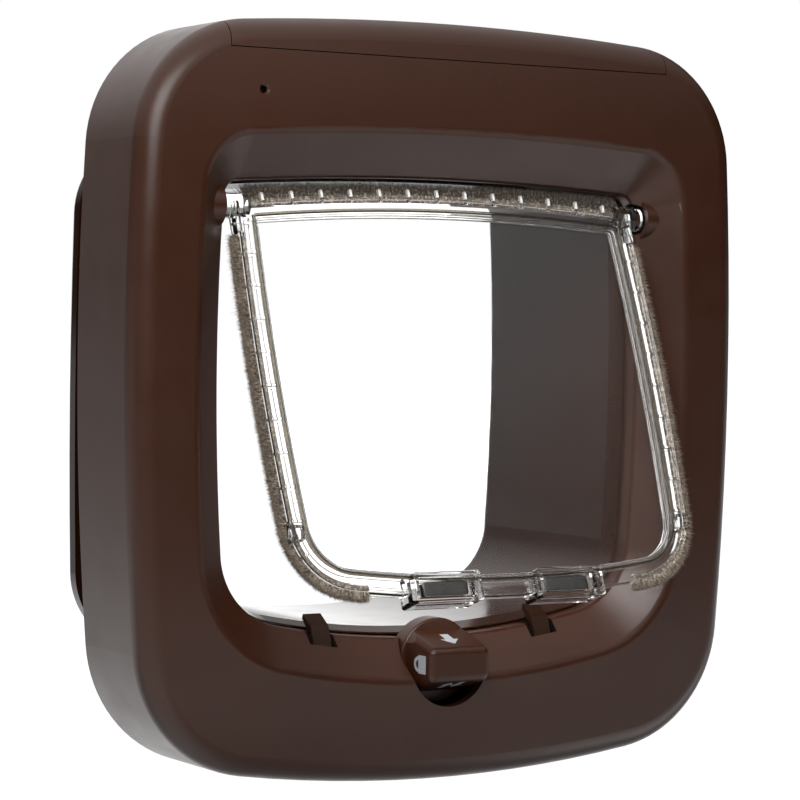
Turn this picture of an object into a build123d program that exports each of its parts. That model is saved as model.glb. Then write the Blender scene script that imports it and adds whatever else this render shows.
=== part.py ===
"""Cat flap for a door: indoor housing with lock and electronics, clear swinging flap, outdoor tunnel frame.

Millimetres. X runs to the right seen from indoors, Y from indoors to outdoors, Z up.
The origin is the middle of the housing's door-side face. Depths are measured from the indoor front face.
"""

import os
from math import cos, radians, sin

from build123d import *

os.makedirs("parts", exist_ok=True)

# Indoor housing: outline, shell and dished recess
housing_w = 225.0
housing_h = 240.6
housing_depth = 40.0
housing_wall = 3.0
housing_widest_z = 12.7
side_bow_top = 4.5
side_bow_bottom = 6.9
top_bow = 6.1
bottom_bow = 11.5
top_corner_r = 40.0
bottom_corner_r = 43.0
front_edge_r = 7.0
inner_edge_r = 4.2

crest_side_margin = 21.5
crest_top_margin = 34.6
crest_bottom_margin = 32.2
crest_w = housing_w - 2 * crest_side_margin
crest_top_z = housing_h / 2 - crest_top_margin
crest_bottom_z = crest_bottom_margin - housing_h / 2
crest_side_bow_top = 3.0
crest_side_bow_bottom = 4.4
crest_top_bow = 4.0
crest_bottom_bow = 13.2
crest_top_corner_r = 18.0
crest_bottom_corner_r = 37.0
crest_edge_r = 4.0
dish_depth = 12.0
dish_inset = 12.6
dish_edge_r = 2.0
brow_drop = 2.0
opening_side_bow_top = 2.0
opening_side_bow_bottom = 3.5
opening_top_bow = 3.0
opening_bottom_bow = 10.2
liner_wall = 3.0

# Door-side cover and its screws
cover_t = 3.0
cover_rim_gap = 0.3
seat_gap = 0.3
screw_post_r = 3.8
screw_pilot_r = 1.25
screw_pilot_depth = 12.0
screw_shank_r = 1.2
screw_shank_l = 11.0
screw_hole_r = 1.6
screw_head_r = 2.7
screw_head_t = 1.7
screw_sink = 1.8
head_room = 0.3
drive_w = 0.7
drive_l = 3.0
drive_depth = 0.8
screw_spots = [
    (housing_w / 2 - 19.5, housing_h / 2 - 21.3),
    (housing_w / 2 - 12.5, 0.0),
    (housing_w / 2 - 28.5, 25.3 - housing_h / 2),
]

# Outdoor frame: sleeve that telescopes in the liner, flange and door screws
sleeve_gap = 0.5
sleeve_wall = 2.0
sleeve_front = 18.0
sleeve_lead = 6.0
sleeve_lip = 0.5
door_t = 52.0
flange_t = 6.0
tunnel_end = housing_depth + door_t + flange_t
flange_w = crest_w - 4.0
flange_top_z = crest_top_z + 0.3
flange_bottom_z = crest_bottom_z + 3.1
flange_bow = 1.5
flange_corner_r = 26.0
flange_edge_r = 2.4
door_screw_x = crest_w / 2 - 31.0
door_screw_top_z = crest_top_z - 6.9
door_screw_bottom_z = crest_bottom_z + 10.7
door_screw_r = 2.0
door_screw_clear = 0.3
door_screw_tip = housing_depth - 7.0
door_screw_head_r = 3.6
door_screw_head_t = 2.4
door_screw_sink = 2.6
door_drive_l = 4.6
door_drive_w = 1.0
door_boss_r = 3.5
door_boss_l = 5.0

# Battery compartment along the top
lid_half_w = housing_w / 2 - 31.5
lid_seam_z = housing_h / 2 - 11.85
lid_depth = housing_depth - 3.5
lid_wall = 2.5
lid_rib_x = lid_half_w - 17.0
lid_rib_t = 2.0
lid_rib_depth = (10.0, 30.0)
cell_r = 7.1
cell_l = 49.2
cell_nub_r = 2.6
cell_nub_l = 1.3
cell_pitch = 15.0
tray_top_z = lid_seam_z - 0.85
cell_z = tray_top_z - 1.6
cell_mid_depth = 19.2
cell_room = 0.4
cell_gap = 0.1
contact_l = 2.6
contact_r = 2.2
contact_plate_t = 0.5
contact_plate_w = 8.0
tray_wall = 1.4
tray_deck_t = 1.6
deck_half_w = lid_half_w - 1.0
deck_front = 8.0

# Electronics
led_x = 11.5 - lid_half_w
led_z = lid_seam_z - 12.65
led_r = 1.0
led_hole_r = 1.15
led_bevel = 0.7
led_recess = 0.8
board_depth = 9.5
board_t = 1.6
board_x = (led_x - 14.5, led_x + 10.5)
board_z = (led_z - 11.8, led_z + 8.2)
standoff_r = 2.2
standoff_inset = 3.0
chip_w = 8.0
chip_h = 6.0
chip_pitch = 11.2
chip_t = 1.4
button_r = 2.5
button_gap = 0.1
button_depth = 16.0
button_top_z = tray_top_z + 1.8
button_bottom_z = tray_top_z - 4.6
button_collar_r = 3.6
button_collar_t = 1.8
button_travel = 1.0
switch_w = 7.0
switch_h = 4.6
switch_l = 8.0
coil_t = 2.7
coil_depth = housing_depth - 15.5
coil_l = 7.0

# Clear flap, modelled in its own plane through the hinge axis
hinge_depth = 12.5
hinge_z = crest_top_z - 25.2
flap_open = 20.0
flap_side_room = 1.4
flap_sill_room = 9.0
flap_w = crest_w - 2 * (dish_inset + sleeve_gap + sleeve_wall + flap_side_room)
flap_top = 4.6
flap_bottom = crest_bottom_z + dish_inset + flap_sill_room - hinge_z
flap_side_bow_top = 1.4
flap_side_bow_bottom = 2.6
flap_top_bow = 3.9
flap_bottom_bow = 6.0
flap_top_corner_r = 4.0
flap_bottom_corner_r = 21.0
pane_t = 2.6
rail_t = 5.5
rail_w = 6.2
rail_lip = 1.4
rail_channel_w = 3.4
rail_channel_d = 0.9
rib_w = 0.8
rib_pitch = 10.7
tooth_h = 1.5
block_x = (10.6, 34.7)
block_top = flap_bottom + 7.6
block_bottom = flap_bottom - 1.9
block_t = 9.6
block_wall = 1.6
block_r = 0.9
pivot_boss_r = 4.0
pivot_root = flap_w / 2 - 5.2
pivot_pin_r = 2.0
pivot_clear = 0.05
pivot_end_gap = 0.3
pivot_pin_l = 4.2
socket_x = crest_w / 2 - dish_inset + 0.6
socket_r = 4.8
socket_l = 5.0
socket_wall = 2.0

# Brush seals in the flap's edge
brush_t = 2.6
brush_groove_d = 2.2
brush_pile = 4.0
brush_side_top = -9.0
brush_bottom_x = flap_w / 2 - 25.4
brush_top_half_w = flap_w / 2 - 6.0
brush_room = 0.1

# Rotary lock
knob_z = crest_bottom_z + 5.4
knob_r = 13.6
knob_gap = 0.5
knob_front = 8.0
knob_back = 14.5
recess_depth = 15.0
recess_wall = 2.5
grip_front = -6.5
grip_base_w = 23.4
grip_base_h = 19.6
grip_front_w = 22.4
grip_front_h = 10.2
grip_corner_r = 2.6
grip_edge_r = 2.4
grip_r = 13.2
knob_edge_r = 0.8
shaft_r = 3.0
shaft_clear = 0.05
shaft_shoulder = 18.0
hub_seat_r = 2.2
hub_r = 4.2
hub_l = 5.8
hub_clear = 0.5
notch_r = 1.0
spring_t = 0.6
spring_half_w = 15.0
spring_w = 3.6
spring_bump_h = 0.8
spring_bump_w = 3.0
spring_gap = 0.4
spring_seat_w = 4.0
spring_seat_t = 2.4

# Catches and their lifter
catch_x = 41.5
catch_w = 6.4
catch_gap = 0.35
catch_front = 8.9
catch_back = 12.7
catch_foot_z = 10.3 - housing_h / 2
catch_bar_h = 5.0
catch_slope_z = crest_bottom_z + 11.1
catch_kink = (11.4, crest_bottom_z + 17.7)
catch_tip = (16.6, crest_bottom_z + 21.2)
catch_tip_back = (17.1, crest_bottom_z + 19.7)
catch_throat_z = crest_bottom_z + 15.5
catch_lift = 3.2
slot_front = 8.3
slot_back = 17.6
slot_low_z = crest_bottom_z + 0.1
lifter_x = 28.0
lifter_depth = 27.0
lifter_plate_t = 2.5
lifter_plate_w = 8.0
solenoid_w = 16.0
solenoid_front = 19.0
solenoid_z = (catch_foot_z + 7.0, catch_foot_z + 18.5)
plunger_r = 2.5
plunger_clear = 0.05
plunger_l = 10.0
plunger_room = 1.5
rest_rib_t = 2.5
rest_rib_x = 12.0


def at_depth(depth):
    """Sketch plane parallel to the front face, this far behind it; a minus extrusion goes deeper."""
    return Plane(origin=(0, depth - housing_depth, 0), x_dir=(1, 0, 0), z_dir=(0, -1, 0))


def bowed_face(width, top_z, bottom_z, widest_z, bows, corner_rs):
    """Rounded four-sided face whose sides are arcs. bows: side at top, side at bottom, top, bottom."""
    side_top, side_bottom, top, bottom = bows
    half = width / 2
    top_x, top_corner_z = half - side_top, top_z - top
    bottom_x, bottom_corner_z = half - side_bottom, bottom_z + bottom
    with BuildSketch() as face:
        with BuildLine():
            ThreePointArc((-top_x, top_corner_z), (0, top_z), (top_x, top_corner_z))
            ThreePointArc((top_x, top_corner_z), (half, widest_z), (bottom_x, bottom_corner_z))
            ThreePointArc((bottom_x, bottom_corner_z), (0, bottom_z), (-bottom_x, bottom_corner_z))
            ThreePointArc((-bottom_x, bottom_corner_z), (-half, widest_z), (-top_x, top_corner_z))
        make_face()
        fillet(face.vertices().group_by(Axis.Y)[-1], corner_rs[0])
        fillet(face.vertices().group_by(Axis.Y)[0], corner_rs[1])
    return face.sketch


def grown(face, amount):
    """The face with its outline moved out by an amount, or in by a minus one."""
    with BuildSketch() as result:
        rim = offset(face, amount=amount, kind=Kind.INTERSECTION, mode=Mode.PRIVATE)
        with BuildLine():
            for edge in rim.edges():
                ThreePointArc(edge @ 0, edge @ 0.5, edge @ 1)
        make_face()
    return result.sketch


housing_face = bowed_face(
    housing_w,
    housing_h / 2,
    -housing_h / 2,
    housing_widest_z,
    (side_bow_top, side_bow_bottom, top_bow, bottom_bow),
    (top_corner_r, bottom_corner_r),
)
crest_face = bowed_face(
    crest_w,
    crest_top_z,
    crest_bottom_z,
    housing_widest_z,
    (crest_side_bow_top, crest_side_bow_bottom, crest_top_bow, crest_bottom_bow),
    (crest_top_corner_r, crest_bottom_corner_r),
)
opening_face = bowed_face(
    crest_w - 2 * dish_inset,
    crest_top_z - dish_inset - brow_drop,
    crest_bottom_z + dish_inset,
    housing_widest_z,
    (opening_side_bow_top, opening_side_bow_bottom, opening_top_bow, opening_bottom_bow),
    (crest_top_corner_r - dish_inset, crest_bottom_corner_r - dish_inset),
)
liner_face = grown(opening_face, liner_wall)
sleeve_outer_face = grown(opening_face, -sleeve_gap)
sleeve_inner_face = grown(opening_face, -sleeve_gap - sleeve_wall)
flange_face = bowed_face(
    flange_w,
    flange_top_z,
    flange_bottom_z,
    (flange_top_z + flange_bottom_z) / 2,
    (flange_bow, flange_bow, flange_bow, flange_bow),
    (flange_corner_r, flange_corner_r),
)
cover_inner_depth = housing_depth - cover_t
screw_points = [(side * x, z) for x, z in screw_spots for side in (-1, 1)]
door_screw_points = [
    (side * door_screw_x, z) for z in (door_screw_top_z, door_screw_bottom_z) for side in (-1, 1)
]
recess_r = knob_r + knob_gap
sill_ring = (at_depth(dish_depth) * opening_face).wires()[0]


def across(depth, z):
    """Sketch plane at X 0 that looks along X, with its origin at a depth and height."""
    return Plane(origin=(0, depth - housing_depth, z), x_dir=(0, 1, 0), z_dir=(1, 0, 0))


def looking_down(z):
    """Horizontal sketch plane at a height, its local Y the depth behind the front face."""
    return Plane(origin=(0, -housing_depth, z), x_dir=(1, 0, 0), z_dir=(0, 0, 1))


# Front housing: bowed shell, dished recess, liner, knob cup and posts
with BuildPart() as front_housing:
    with BuildSketch(at_depth(0)):
        add(housing_face)
    extrude(amount=-housing_depth)
    fillet(front_housing.faces().sort_by(Axis.Y)[0].edges(), front_edge_r)
    with BuildSketch(at_depth(housing_wall)):
        add(grown(housing_face, -housing_wall))
    extrude(amount=-(housing_depth - housing_wall), mode=Mode.SUBTRACT)
    inner_wall = front_housing.faces().filter_by(Plane.XZ).sort_by(Axis.Y)[1]
    fillet(inner_wall.edges(), inner_edge_r)
    with BuildSketch(at_depth(0)):
        add(grown(crest_face, liner_wall))
    with BuildSketch(at_depth(dish_depth)):
        add(liner_face)
    loft(ruled=True)
    with BuildSketch(at_depth(dish_depth)):
        add(liner_face)
    extrude(amount=-(housing_depth - dish_depth))
    with BuildSketch(at_depth(housing_wall)):
        with Locations((0, knob_z)):
            Circle(recess_r + recess_wall)
    extrude(amount=-(recess_depth + recess_wall - housing_wall))
    with BuildSketch(at_depth(housing_wall)):
        with Locations(*screw_points):
            Circle(screw_post_r)
    extrude(amount=-(cover_inner_depth - housing_wall))
    with BuildSketch(at_depth(housing_wall)):
        with Locations(
            (board_x[0] + standoff_inset, board_z[0] + standoff_inset),
            (board_x[1] - standoff_inset, board_z[1] - standoff_inset),
        ):
            Circle(standoff_r)
    extrude(amount=-(board_depth - housing_wall))
    rest_rib_h = catch_foot_z - seat_gap + housing_h / 2 - housing_wall
    with BuildSketch(at_depth(housing_wall)):
        with Locations((-rest_rib_x, catch_foot_z - seat_gap), (rest_rib_x, catch_foot_z - seat_gap)):
            Rectangle(rest_rib_t, rest_rib_h, align=(Align.CENTER, Align.MAX))
    extrude(amount=-(catch_back - housing_wall))
    with BuildSketch(at_depth(0)):
        add(crest_face)
    with BuildSketch(at_depth(dish_depth)):
        add(opening_face)
    loft(ruled=True, mode=Mode.SUBTRACT)
    with BuildSketch(at_depth(dish_depth)):
        add(opening_face)
    extrude(amount=-(housing_depth - dish_depth), mode=Mode.SUBTRACT)
    fillet(front_housing.faces().sort_by(Axis.Y)[0].inner_wires()[0].edges(), crest_edge_r)
    sill_edges = front_housing.edges().filter_by(lambda edge: edge.distance_to(sill_ring) < seat_gap)
    fillet(sill_edges, dish_edge_r)
    for side in (-1, 1):
        with BuildSketch(across(hinge_depth, hinge_z).offset(side * socket_x)):
            Circle(socket_r + socket_wall)
        extrude(amount=side * (socket_l + socket_wall))
    with BuildSketch(across(hinge_depth, hinge_z).offset(-socket_x)):
        Circle(socket_r)
    extrude(amount=2 * socket_x, mode=Mode.SUBTRACT)
    with BuildSketch(across(hinge_depth, hinge_z).offset(-socket_x - socket_l)):
        Circle(pivot_pin_r + pivot_clear)
    extrude(amount=2 * (socket_x + socket_l), mode=Mode.SUBTRACT)
    with BuildSketch(at_depth(0)):
        with Locations((0, knob_z)):
            Circle(recess_r)
    extrude(amount=-recess_depth, mode=Mode.SUBTRACT)
    with BuildSketch(at_depth(recess_depth)):
        with Locations((0, knob_z)):
            Circle(shaft_r + shaft_clear)
    extrude(amount=-2 * recess_wall, mode=Mode.SUBTRACT)
    with BuildSketch(at_depth(recess_depth + recess_wall)):
        with Locations((0, knob_z)):
            Circle(hub_r + hub_clear)
    extrude(amount=-(hub_l + 2 * hub_clear), mode=Mode.SUBTRACT)
    with BuildSketch(at_depth(slot_front)):
        with Locations((-catch_x, slot_low_z), (catch_x, slot_low_z)):
            Rectangle(catch_w + 2 * catch_gap, -slot_low_z, align=(Align.CENTER, Align.MIN))
    extrude(amount=-(slot_back - slot_front), mode=Mode.SUBTRACT)
    with BuildSketch(at_depth(0)):
        with Locations((0, lid_seam_z - seat_gap)):
            Rectangle(2 * (lid_half_w + seat_gap), housing_h, align=(Align.CENTER, Align.MIN))
    extrude(amount=-(lid_depth + seat_gap), mode=Mode.SUBTRACT)
    with BuildSketch(at_depth(0)):
        with Locations((led_x, led_z)):
            Circle(led_hole_r)
    extrude(amount=-housing_wall, mode=Mode.SUBTRACT)
    led_rim = front_housing.faces().sort_by(Axis.Y)[0].inner_wires().sort_by(SortBy.LENGTH)[0]
    chamfer(led_rim.edges(), led_bevel)
    with BuildSketch(at_depth(cover_inner_depth - screw_pilot_depth)):
        with Locations(*screw_points):
            Circle(screw_pilot_r)
    extrude(amount=-screw_pilot_depth, mode=Mode.SUBTRACT)
front_housing.part.label = "front_housing"
export_step(front_housing.part, "parts/front_housing.step")

# Rear cover: ring that closes the housing on the door side, with bosses for the long screws
with BuildPart() as rear_cover:
    with BuildSketch(at_depth(cover_inner_depth)):
        add(grown(housing_face, -housing_wall - cover_rim_gap))
        add(grown(opening_face, liner_wall + cover_rim_gap), mode=Mode.SUBTRACT)
    extrude(amount=-cover_t)
    with BuildSketch(at_depth(cover_inner_depth - door_boss_l)):
        with Locations(*door_screw_points):
            Circle(door_boss_r)
    extrude(amount=-(door_boss_l + cover_t))
    spring_top_z = knob_z - hub_r - spring_gap - spring_bump_h
    with BuildSketch(at_depth(shaft_shoulder)):
        for side in (-1, 1):
            with Locations((side * spring_half_w, spring_top_z - spring_t)):
                Rectangle(spring_seat_w, spring_seat_t, align=(Align.CENTER, Align.MAX))
    extrude(amount=-(cover_inner_depth - shaft_shoulder))
    with BuildSketch(at_depth(cover_inner_depth - door_boss_l)):
        with Locations(*door_screw_points):
            Circle(door_screw_r + door_screw_clear)
    extrude(amount=-(door_boss_l + cover_t), mode=Mode.SUBTRACT)
    with BuildSketch(at_depth(cover_inner_depth)):
        with Locations(*screw_points):
            Circle(screw_hole_r)
    extrude(amount=-cover_t, mode=Mode.SUBTRACT)
    with BuildSketch(at_depth(housing_depth - screw_sink)):
        with Locations(*screw_points):
            Circle(screw_head_r + head_room)
    extrude(amount=-screw_sink, mode=Mode.SUBTRACT)
rear_cover.part.label = "rear_cover"
export_step(rear_cover.part, "parts/rear_cover.step")

# Housing screws: six pan heads sunk in the rear cover
head_back = housing_depth - screw_sink + screw_head_t
with BuildPart() as housing_screws:
    with BuildSketch(at_depth(housing_depth - screw_sink)):
        with Locations(*screw_points):
            Circle(screw_head_r)
    extrude(amount=-screw_head_t)
    with BuildSketch(at_depth(housing_depth - screw_sink - screw_shank_l)):
        with Locations(*screw_points):
            Circle(screw_shank_r)
    extrude(amount=-screw_shank_l)
    with BuildSketch(at_depth(head_back - drive_depth)):
        with Locations(*screw_points):
            Rectangle(drive_l, drive_w)
            Rectangle(drive_w, drive_l)
    extrude(amount=-drive_depth, mode=Mode.SUBTRACT)
housing_screws.part.label = "housing_screws"
export_step(housing_screws.part, "parts/housing_screws.step")

# Exterior frame: tunnel sleeve with a lead-in at its indoor end, and the outdoor flange
with BuildPart() as exterior_frame:
    with BuildSketch(at_depth(tunnel_end - flange_t)):
        add(flange_face)
    extrude(amount=-flange_t)
    fillet(exterior_frame.faces().sort_by(Axis.Y)[-1].edges(), flange_edge_r)
    with BuildSketch(at_depth(sleeve_front)):
        add(sleeve_outer_face)
    extrude(amount=-(tunnel_end - sleeve_front - flange_t))
    with BuildSketch(at_depth(sleeve_front)):
        add(sleeve_inner_face)
    extrude(amount=-(tunnel_end - sleeve_front), mode=Mode.SUBTRACT)
    with BuildSketch(at_depth(sleeve_front)):
        add(grown(opening_face, -sleeve_gap - sleeve_lip))
    with BuildSketch(at_depth(sleeve_front + sleeve_lead)):
        add(sleeve_inner_face)
    loft(ruled=True, mode=Mode.SUBTRACT)
    fillet(exterior_frame.faces().sort_by(Axis.Y)[-1].inner_wires()[0].edges(), flange_edge_r)
    with BuildSketch(at_depth(tunnel_end - flange_t)):
        with Locations(*door_screw_points):
            Circle(door_screw_r + door_screw_clear)
    extrude(amount=-flange_t, mode=Mode.SUBTRACT)
    with BuildSketch(at_depth(tunnel_end - door_screw_sink)):
        with Locations(*door_screw_points):
            Circle(door_screw_head_r + head_room)
    extrude(amount=-door_screw_sink, mode=Mode.SUBTRACT)
exterior_frame.part.label = "exterior_frame"
export_step(exterior_frame.part, "parts/exterior_frame.step")

# Door screws: four long screws from the flange into the rear cover's bosses
door_head_front = tunnel_end - door_screw_sink
with BuildPart() as door_screws:
    with BuildSketch(at_depth(door_head_front)):
        with Locations(*door_screw_points):
            Circle(door_screw_head_r)
    extrude(amount=-door_screw_head_t)
    with BuildSketch(at_depth(door_screw_tip)):
        with Locations(*door_screw_points):
            Circle(door_screw_r)
    extrude(amount=-(door_head_front - door_screw_tip))
    with BuildSketch(at_depth(door_head_front + door_screw_head_t - drive_depth)):
        with Locations(*door_screw_points):
            Rectangle(door_drive_l, door_drive_w)
            Rectangle(door_drive_w, door_drive_l)
    extrude(amount=-drive_depth, mode=Mode.SUBTRACT)
door_screws.part.label = "door_screws"
export_step(door_screws.part, "parts/door_screws.step")

# Battery cover: the cap of the housing's outer form, hollow, standing on two ribs
with BuildPart() as lid_room:
    with BuildSketch(at_depth(lid_wall)):
        add(grown(housing_face, -lid_wall))
    extrude(amount=-(lid_depth - 2 * lid_wall))
    fillet(lid_room.faces().sort_by(Axis.Y)[0].edges(), front_edge_r - lid_wall)
    with BuildSketch(at_depth(0)):
        with Locations((0, tray_top_z)):
            Rectangle(2 * (lid_half_w - lid_wall), housing_h, align=(Align.CENTER, Align.MIN))
    extrude(amount=-lid_depth, mode=Mode.INTERSECT)
lid_rib_top_z = (housing_h - top_bow) / 2
with BuildPart() as battery_cover:
    with BuildSketch(at_depth(0)):
        add(housing_face)
    extrude(amount=-lid_depth)
    fillet(battery_cover.faces().sort_by(Axis.Y)[0].edges(), front_edge_r)
    with BuildSketch(at_depth(0)):
        with Locations((0, lid_seam_z)):
            Rectangle(2 * lid_half_w, housing_h, align=(Align.CENTER, Align.MIN))
    extrude(amount=-lid_depth, mode=Mode.INTERSECT)
    add(lid_room.part, mode=Mode.SUBTRACT)
    with BuildSketch(at_depth(lid_rib_depth[0])):
        with Locations((-lid_rib_x, tray_top_z), (lid_rib_x, tray_top_z)):
            Rectangle(lid_rib_t, lid_rib_top_z - tray_top_z, align=(Align.CENTER, Align.MIN))
    extrude(amount=-(lid_rib_depth[1] - lid_rib_depth[0]))
battery_cover.part.label = "battery_cover"
export_step(battery_cover.part, "parts/battery_cover.step")

# Battery tray: pocket for two rows of cells, and a deck with the button hole
row_depths = (cell_mid_depth - cell_pitch / 2, cell_mid_depth + cell_pitch / 2)
row_half_l = cell_l + cell_nub_l
pocket_half_w = row_half_l + contact_l + contact_plate_t
pocket_front = row_depths[0] - cell_r - cell_room
pocket_back = row_depths[1] + cell_r + cell_room
pocket_floor_z = cell_z - cell_r
with BuildPart() as battery_tray:
    with BuildSketch(at_depth(housing_wall)):
        with Locations((0, tray_top_z)):
            tray_h = tray_top_z - pocket_floor_z + tray_wall
            Rectangle(2 * (pocket_half_w + tray_wall), tray_h, align=(Align.CENTER, Align.MAX))
    extrude(amount=-(cover_inner_depth - housing_wall))
    with BuildSketch(at_depth(deck_front)):
        with Locations((0, tray_top_z)):
            Rectangle(2 * deck_half_w, tray_deck_t, align=(Align.CENTER, Align.MAX))
    extrude(amount=-(lid_depth - deck_front))
    with BuildSketch(at_depth(pocket_front)):
        with Locations((0, pocket_floor_z)):
            Rectangle(2 * pocket_half_w, housing_h, align=(Align.CENTER, Align.MIN))
    extrude(amount=-(pocket_back - pocket_front), mode=Mode.SUBTRACT)
    with BuildSketch(looking_down(tray_top_z)):
        with Locations((led_x, button_depth)):
            Circle(button_r + button_gap)
    extrude(amount=-tray_deck_t, mode=Mode.SUBTRACT)
battery_tray.part.label = "battery_tray"
export_step(battery_tray.part, "parts/battery_tray.step")

# Batteries: two rows of two cells, the rows facing opposite ways
with BuildPart() as batteries:
    for row_depth, way in zip(row_depths, (1, -1)):
        for cell_start in (-way * row_half_l, 0):
            with BuildSketch(across(row_depth, cell_z).offset(cell_start)):
                Circle(cell_r)
            extrude(amount=way * cell_l)
            with BuildSketch(across(row_depth, cell_z).offset(cell_start + way * cell_l)):
                Circle(cell_nub_r)
            extrude(amount=way * (cell_nub_l - cell_gap))
batteries.part.label = "batteries"
export_step(batteries.part, "parts/batteries.step")

# Battery contacts: a plate and a spring stud at each end of each row
with BuildPart() as battery_contacts:
    for row_depth in row_depths:
        for side in (-1, 1):
            with BuildSketch(across(row_depth, cell_z).offset(side * row_half_l)):
                Circle(contact_r)
            extrude(amount=side * contact_l)
            with BuildSketch(across(row_depth, cell_z).offset(side * (row_half_l + contact_l))):
                Rectangle(contact_plate_w, contact_plate_w)
            extrude(amount=side * contact_plate_t)
battery_contacts.part.label = "battery_contacts"
export_step(battery_contacts.part, "parts/battery_contacts.step")

# Control board on its two standoffs, with two chips on the rear
board_mid_x = (board_x[0] + board_x[1]) / 2
board_mid_z = (board_z[0] + board_z[1]) / 2
board_back = board_depth + board_t
with BuildPart() as control_board:
    with BuildSketch(at_depth(board_depth)):
        with Locations((board_mid_x, board_mid_z)):
            Rectangle(board_x[1] - board_x[0], board_z[1] - board_z[0])
    extrude(amount=-board_t)
    with BuildSketch(at_depth(board_back)):
        with Locations((board_mid_x, board_z[0] + chip_h)):
            with GridLocations(chip_pitch, 1, 2, 1):
                Rectangle(chip_w, chip_h)
    extrude(amount=-chip_t)
control_board.part.label = "control_board"
export_step(control_board.part, "parts/control_board.step")

# Learn switch on the board, just under the button at the end of its travel
switch_top_z = button_bottom_z - button_travel - seat_gap
with BuildPart() as learn_switch:
    with BuildSketch(at_depth(board_back)):
        with Locations((led_x, switch_top_z)):
            Rectangle(switch_w, switch_h, align=(Align.CENTER, Align.MAX))
    extrude(amount=-switch_l)
learn_switch.part.label = "learn_switch"
export_step(learn_switch.part, "parts/learn_switch.step")

# Status light pipe from the board into the front hole
with BuildPart() as status_led:
    with BuildSketch(at_depth(led_recess)):
        with Locations((led_x, led_z)):
            Circle(led_r)
    extrude(amount=-(board_depth - led_recess))
status_led.part.label = "status_led"
export_step(status_led.part, "parts/status_led.step")

# Learn button through the tray's deck, kept in by its collar
with BuildPart() as learn_button:
    with BuildSketch(looking_down(button_bottom_z)):
        with Locations((led_x, button_depth)):
            Circle(button_r)
    extrude(amount=button_top_z - button_bottom_z)
    fillet(learn_button.faces().sort_by(Axis.Z)[-1].edges(), button_r / 5)
    with BuildSketch(looking_down(tray_top_z - tray_deck_t)):
        with Locations((led_x, button_depth)):
            Circle(button_collar_r)
    extrude(amount=-button_collar_t)
learn_button.part.label = "learn_button"
export_step(learn_button.part, "parts/learn_button.step")

# Aerial coil round the liner
with BuildPart() as antenna_coil:
    with BuildSketch(at_depth(coil_depth)):
        add(grown(opening_face, liner_wall + coil_t))
        add(liner_face, mode=Mode.SUBTRACT)
    extrude(amount=-coil_l)
antenna_coil.part.label = "antenna_coil"
export_step(antenna_coil.part, "parts/antenna_coil.step")

# Lock solenoid against the rear cover, bored from below for its plunger
plunger_foot_z = catch_foot_z + lifter_plate_t
with BuildPart() as lock_solenoid:
    with BuildSketch(at_depth(solenoid_front)):
        with Locations((lifter_x, solenoid_z[0])):
            Rectangle(solenoid_w, solenoid_z[1] - solenoid_z[0], align=(Align.CENTER, Align.MIN))
    extrude(amount=-(cover_inner_depth - solenoid_front))
    with BuildSketch(looking_down(solenoid_z[0])):
        with Locations((lifter_x, lifter_depth)):
            Circle(plunger_r + plunger_clear)
    bore_top_z = plunger_foot_z + plunger_l + catch_lift + plunger_room
    extrude(amount=bore_top_z - solenoid_z[0], mode=Mode.SUBTRACT)
lock_solenoid.part.label = "lock_solenoid"
export_step(lock_solenoid.part, "parts/lock_solenoid.step")

# Solenoid plunger standing on the lifter plate
with BuildPart() as solenoid_plunger:
    with BuildSketch(looking_down(plunger_foot_z)):
        with Locations((lifter_x, lifter_depth)):
            Circle(plunger_r)
    extrude(amount=plunger_l)
solenoid_plunger.part.label = "solenoid_plunger"
export_step(solenoid_plunger.part, "parts/solenoid_plunger.step")

# Catch bar: two bent fingers joined by a bar, with the plate the solenoid lifts
with BuildPart() as catch_bar:
    for side in (-1, 1):
        with BuildSketch(across(0, 0).offset(side * catch_x - catch_w / 2)):
            with BuildLine():
                Polyline(
                    (catch_front, catch_foot_z),
                    (catch_front, catch_slope_z),
                    catch_kink,
                    catch_tip,
                    catch_tip_back,
                    (catch_back, catch_throat_z),
                    (catch_back, catch_foot_z),
                    close=True,
                )
            make_face()
        extrude(amount=catch_w)
    with BuildSketch(at_depth(catch_front)):
        with Locations((0, catch_foot_z)):
            Rectangle(2 * catch_x, catch_bar_h, align=(Align.CENTER, Align.MIN))
    extrude(amount=-(catch_back - catch_front))
    with BuildSketch(at_depth(catch_front)):
        with Locations((lifter_x, catch_foot_z)):
            Rectangle(lifter_plate_w, lifter_plate_t, align=(Align.CENTER, Align.MIN))
    extrude(amount=-(lifter_depth + lifter_plate_w / 2 - catch_front))
catch_bar.part.label = "catch_bar"
export_step(catch_bar.part, "parts/catch_bar.step")

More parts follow.
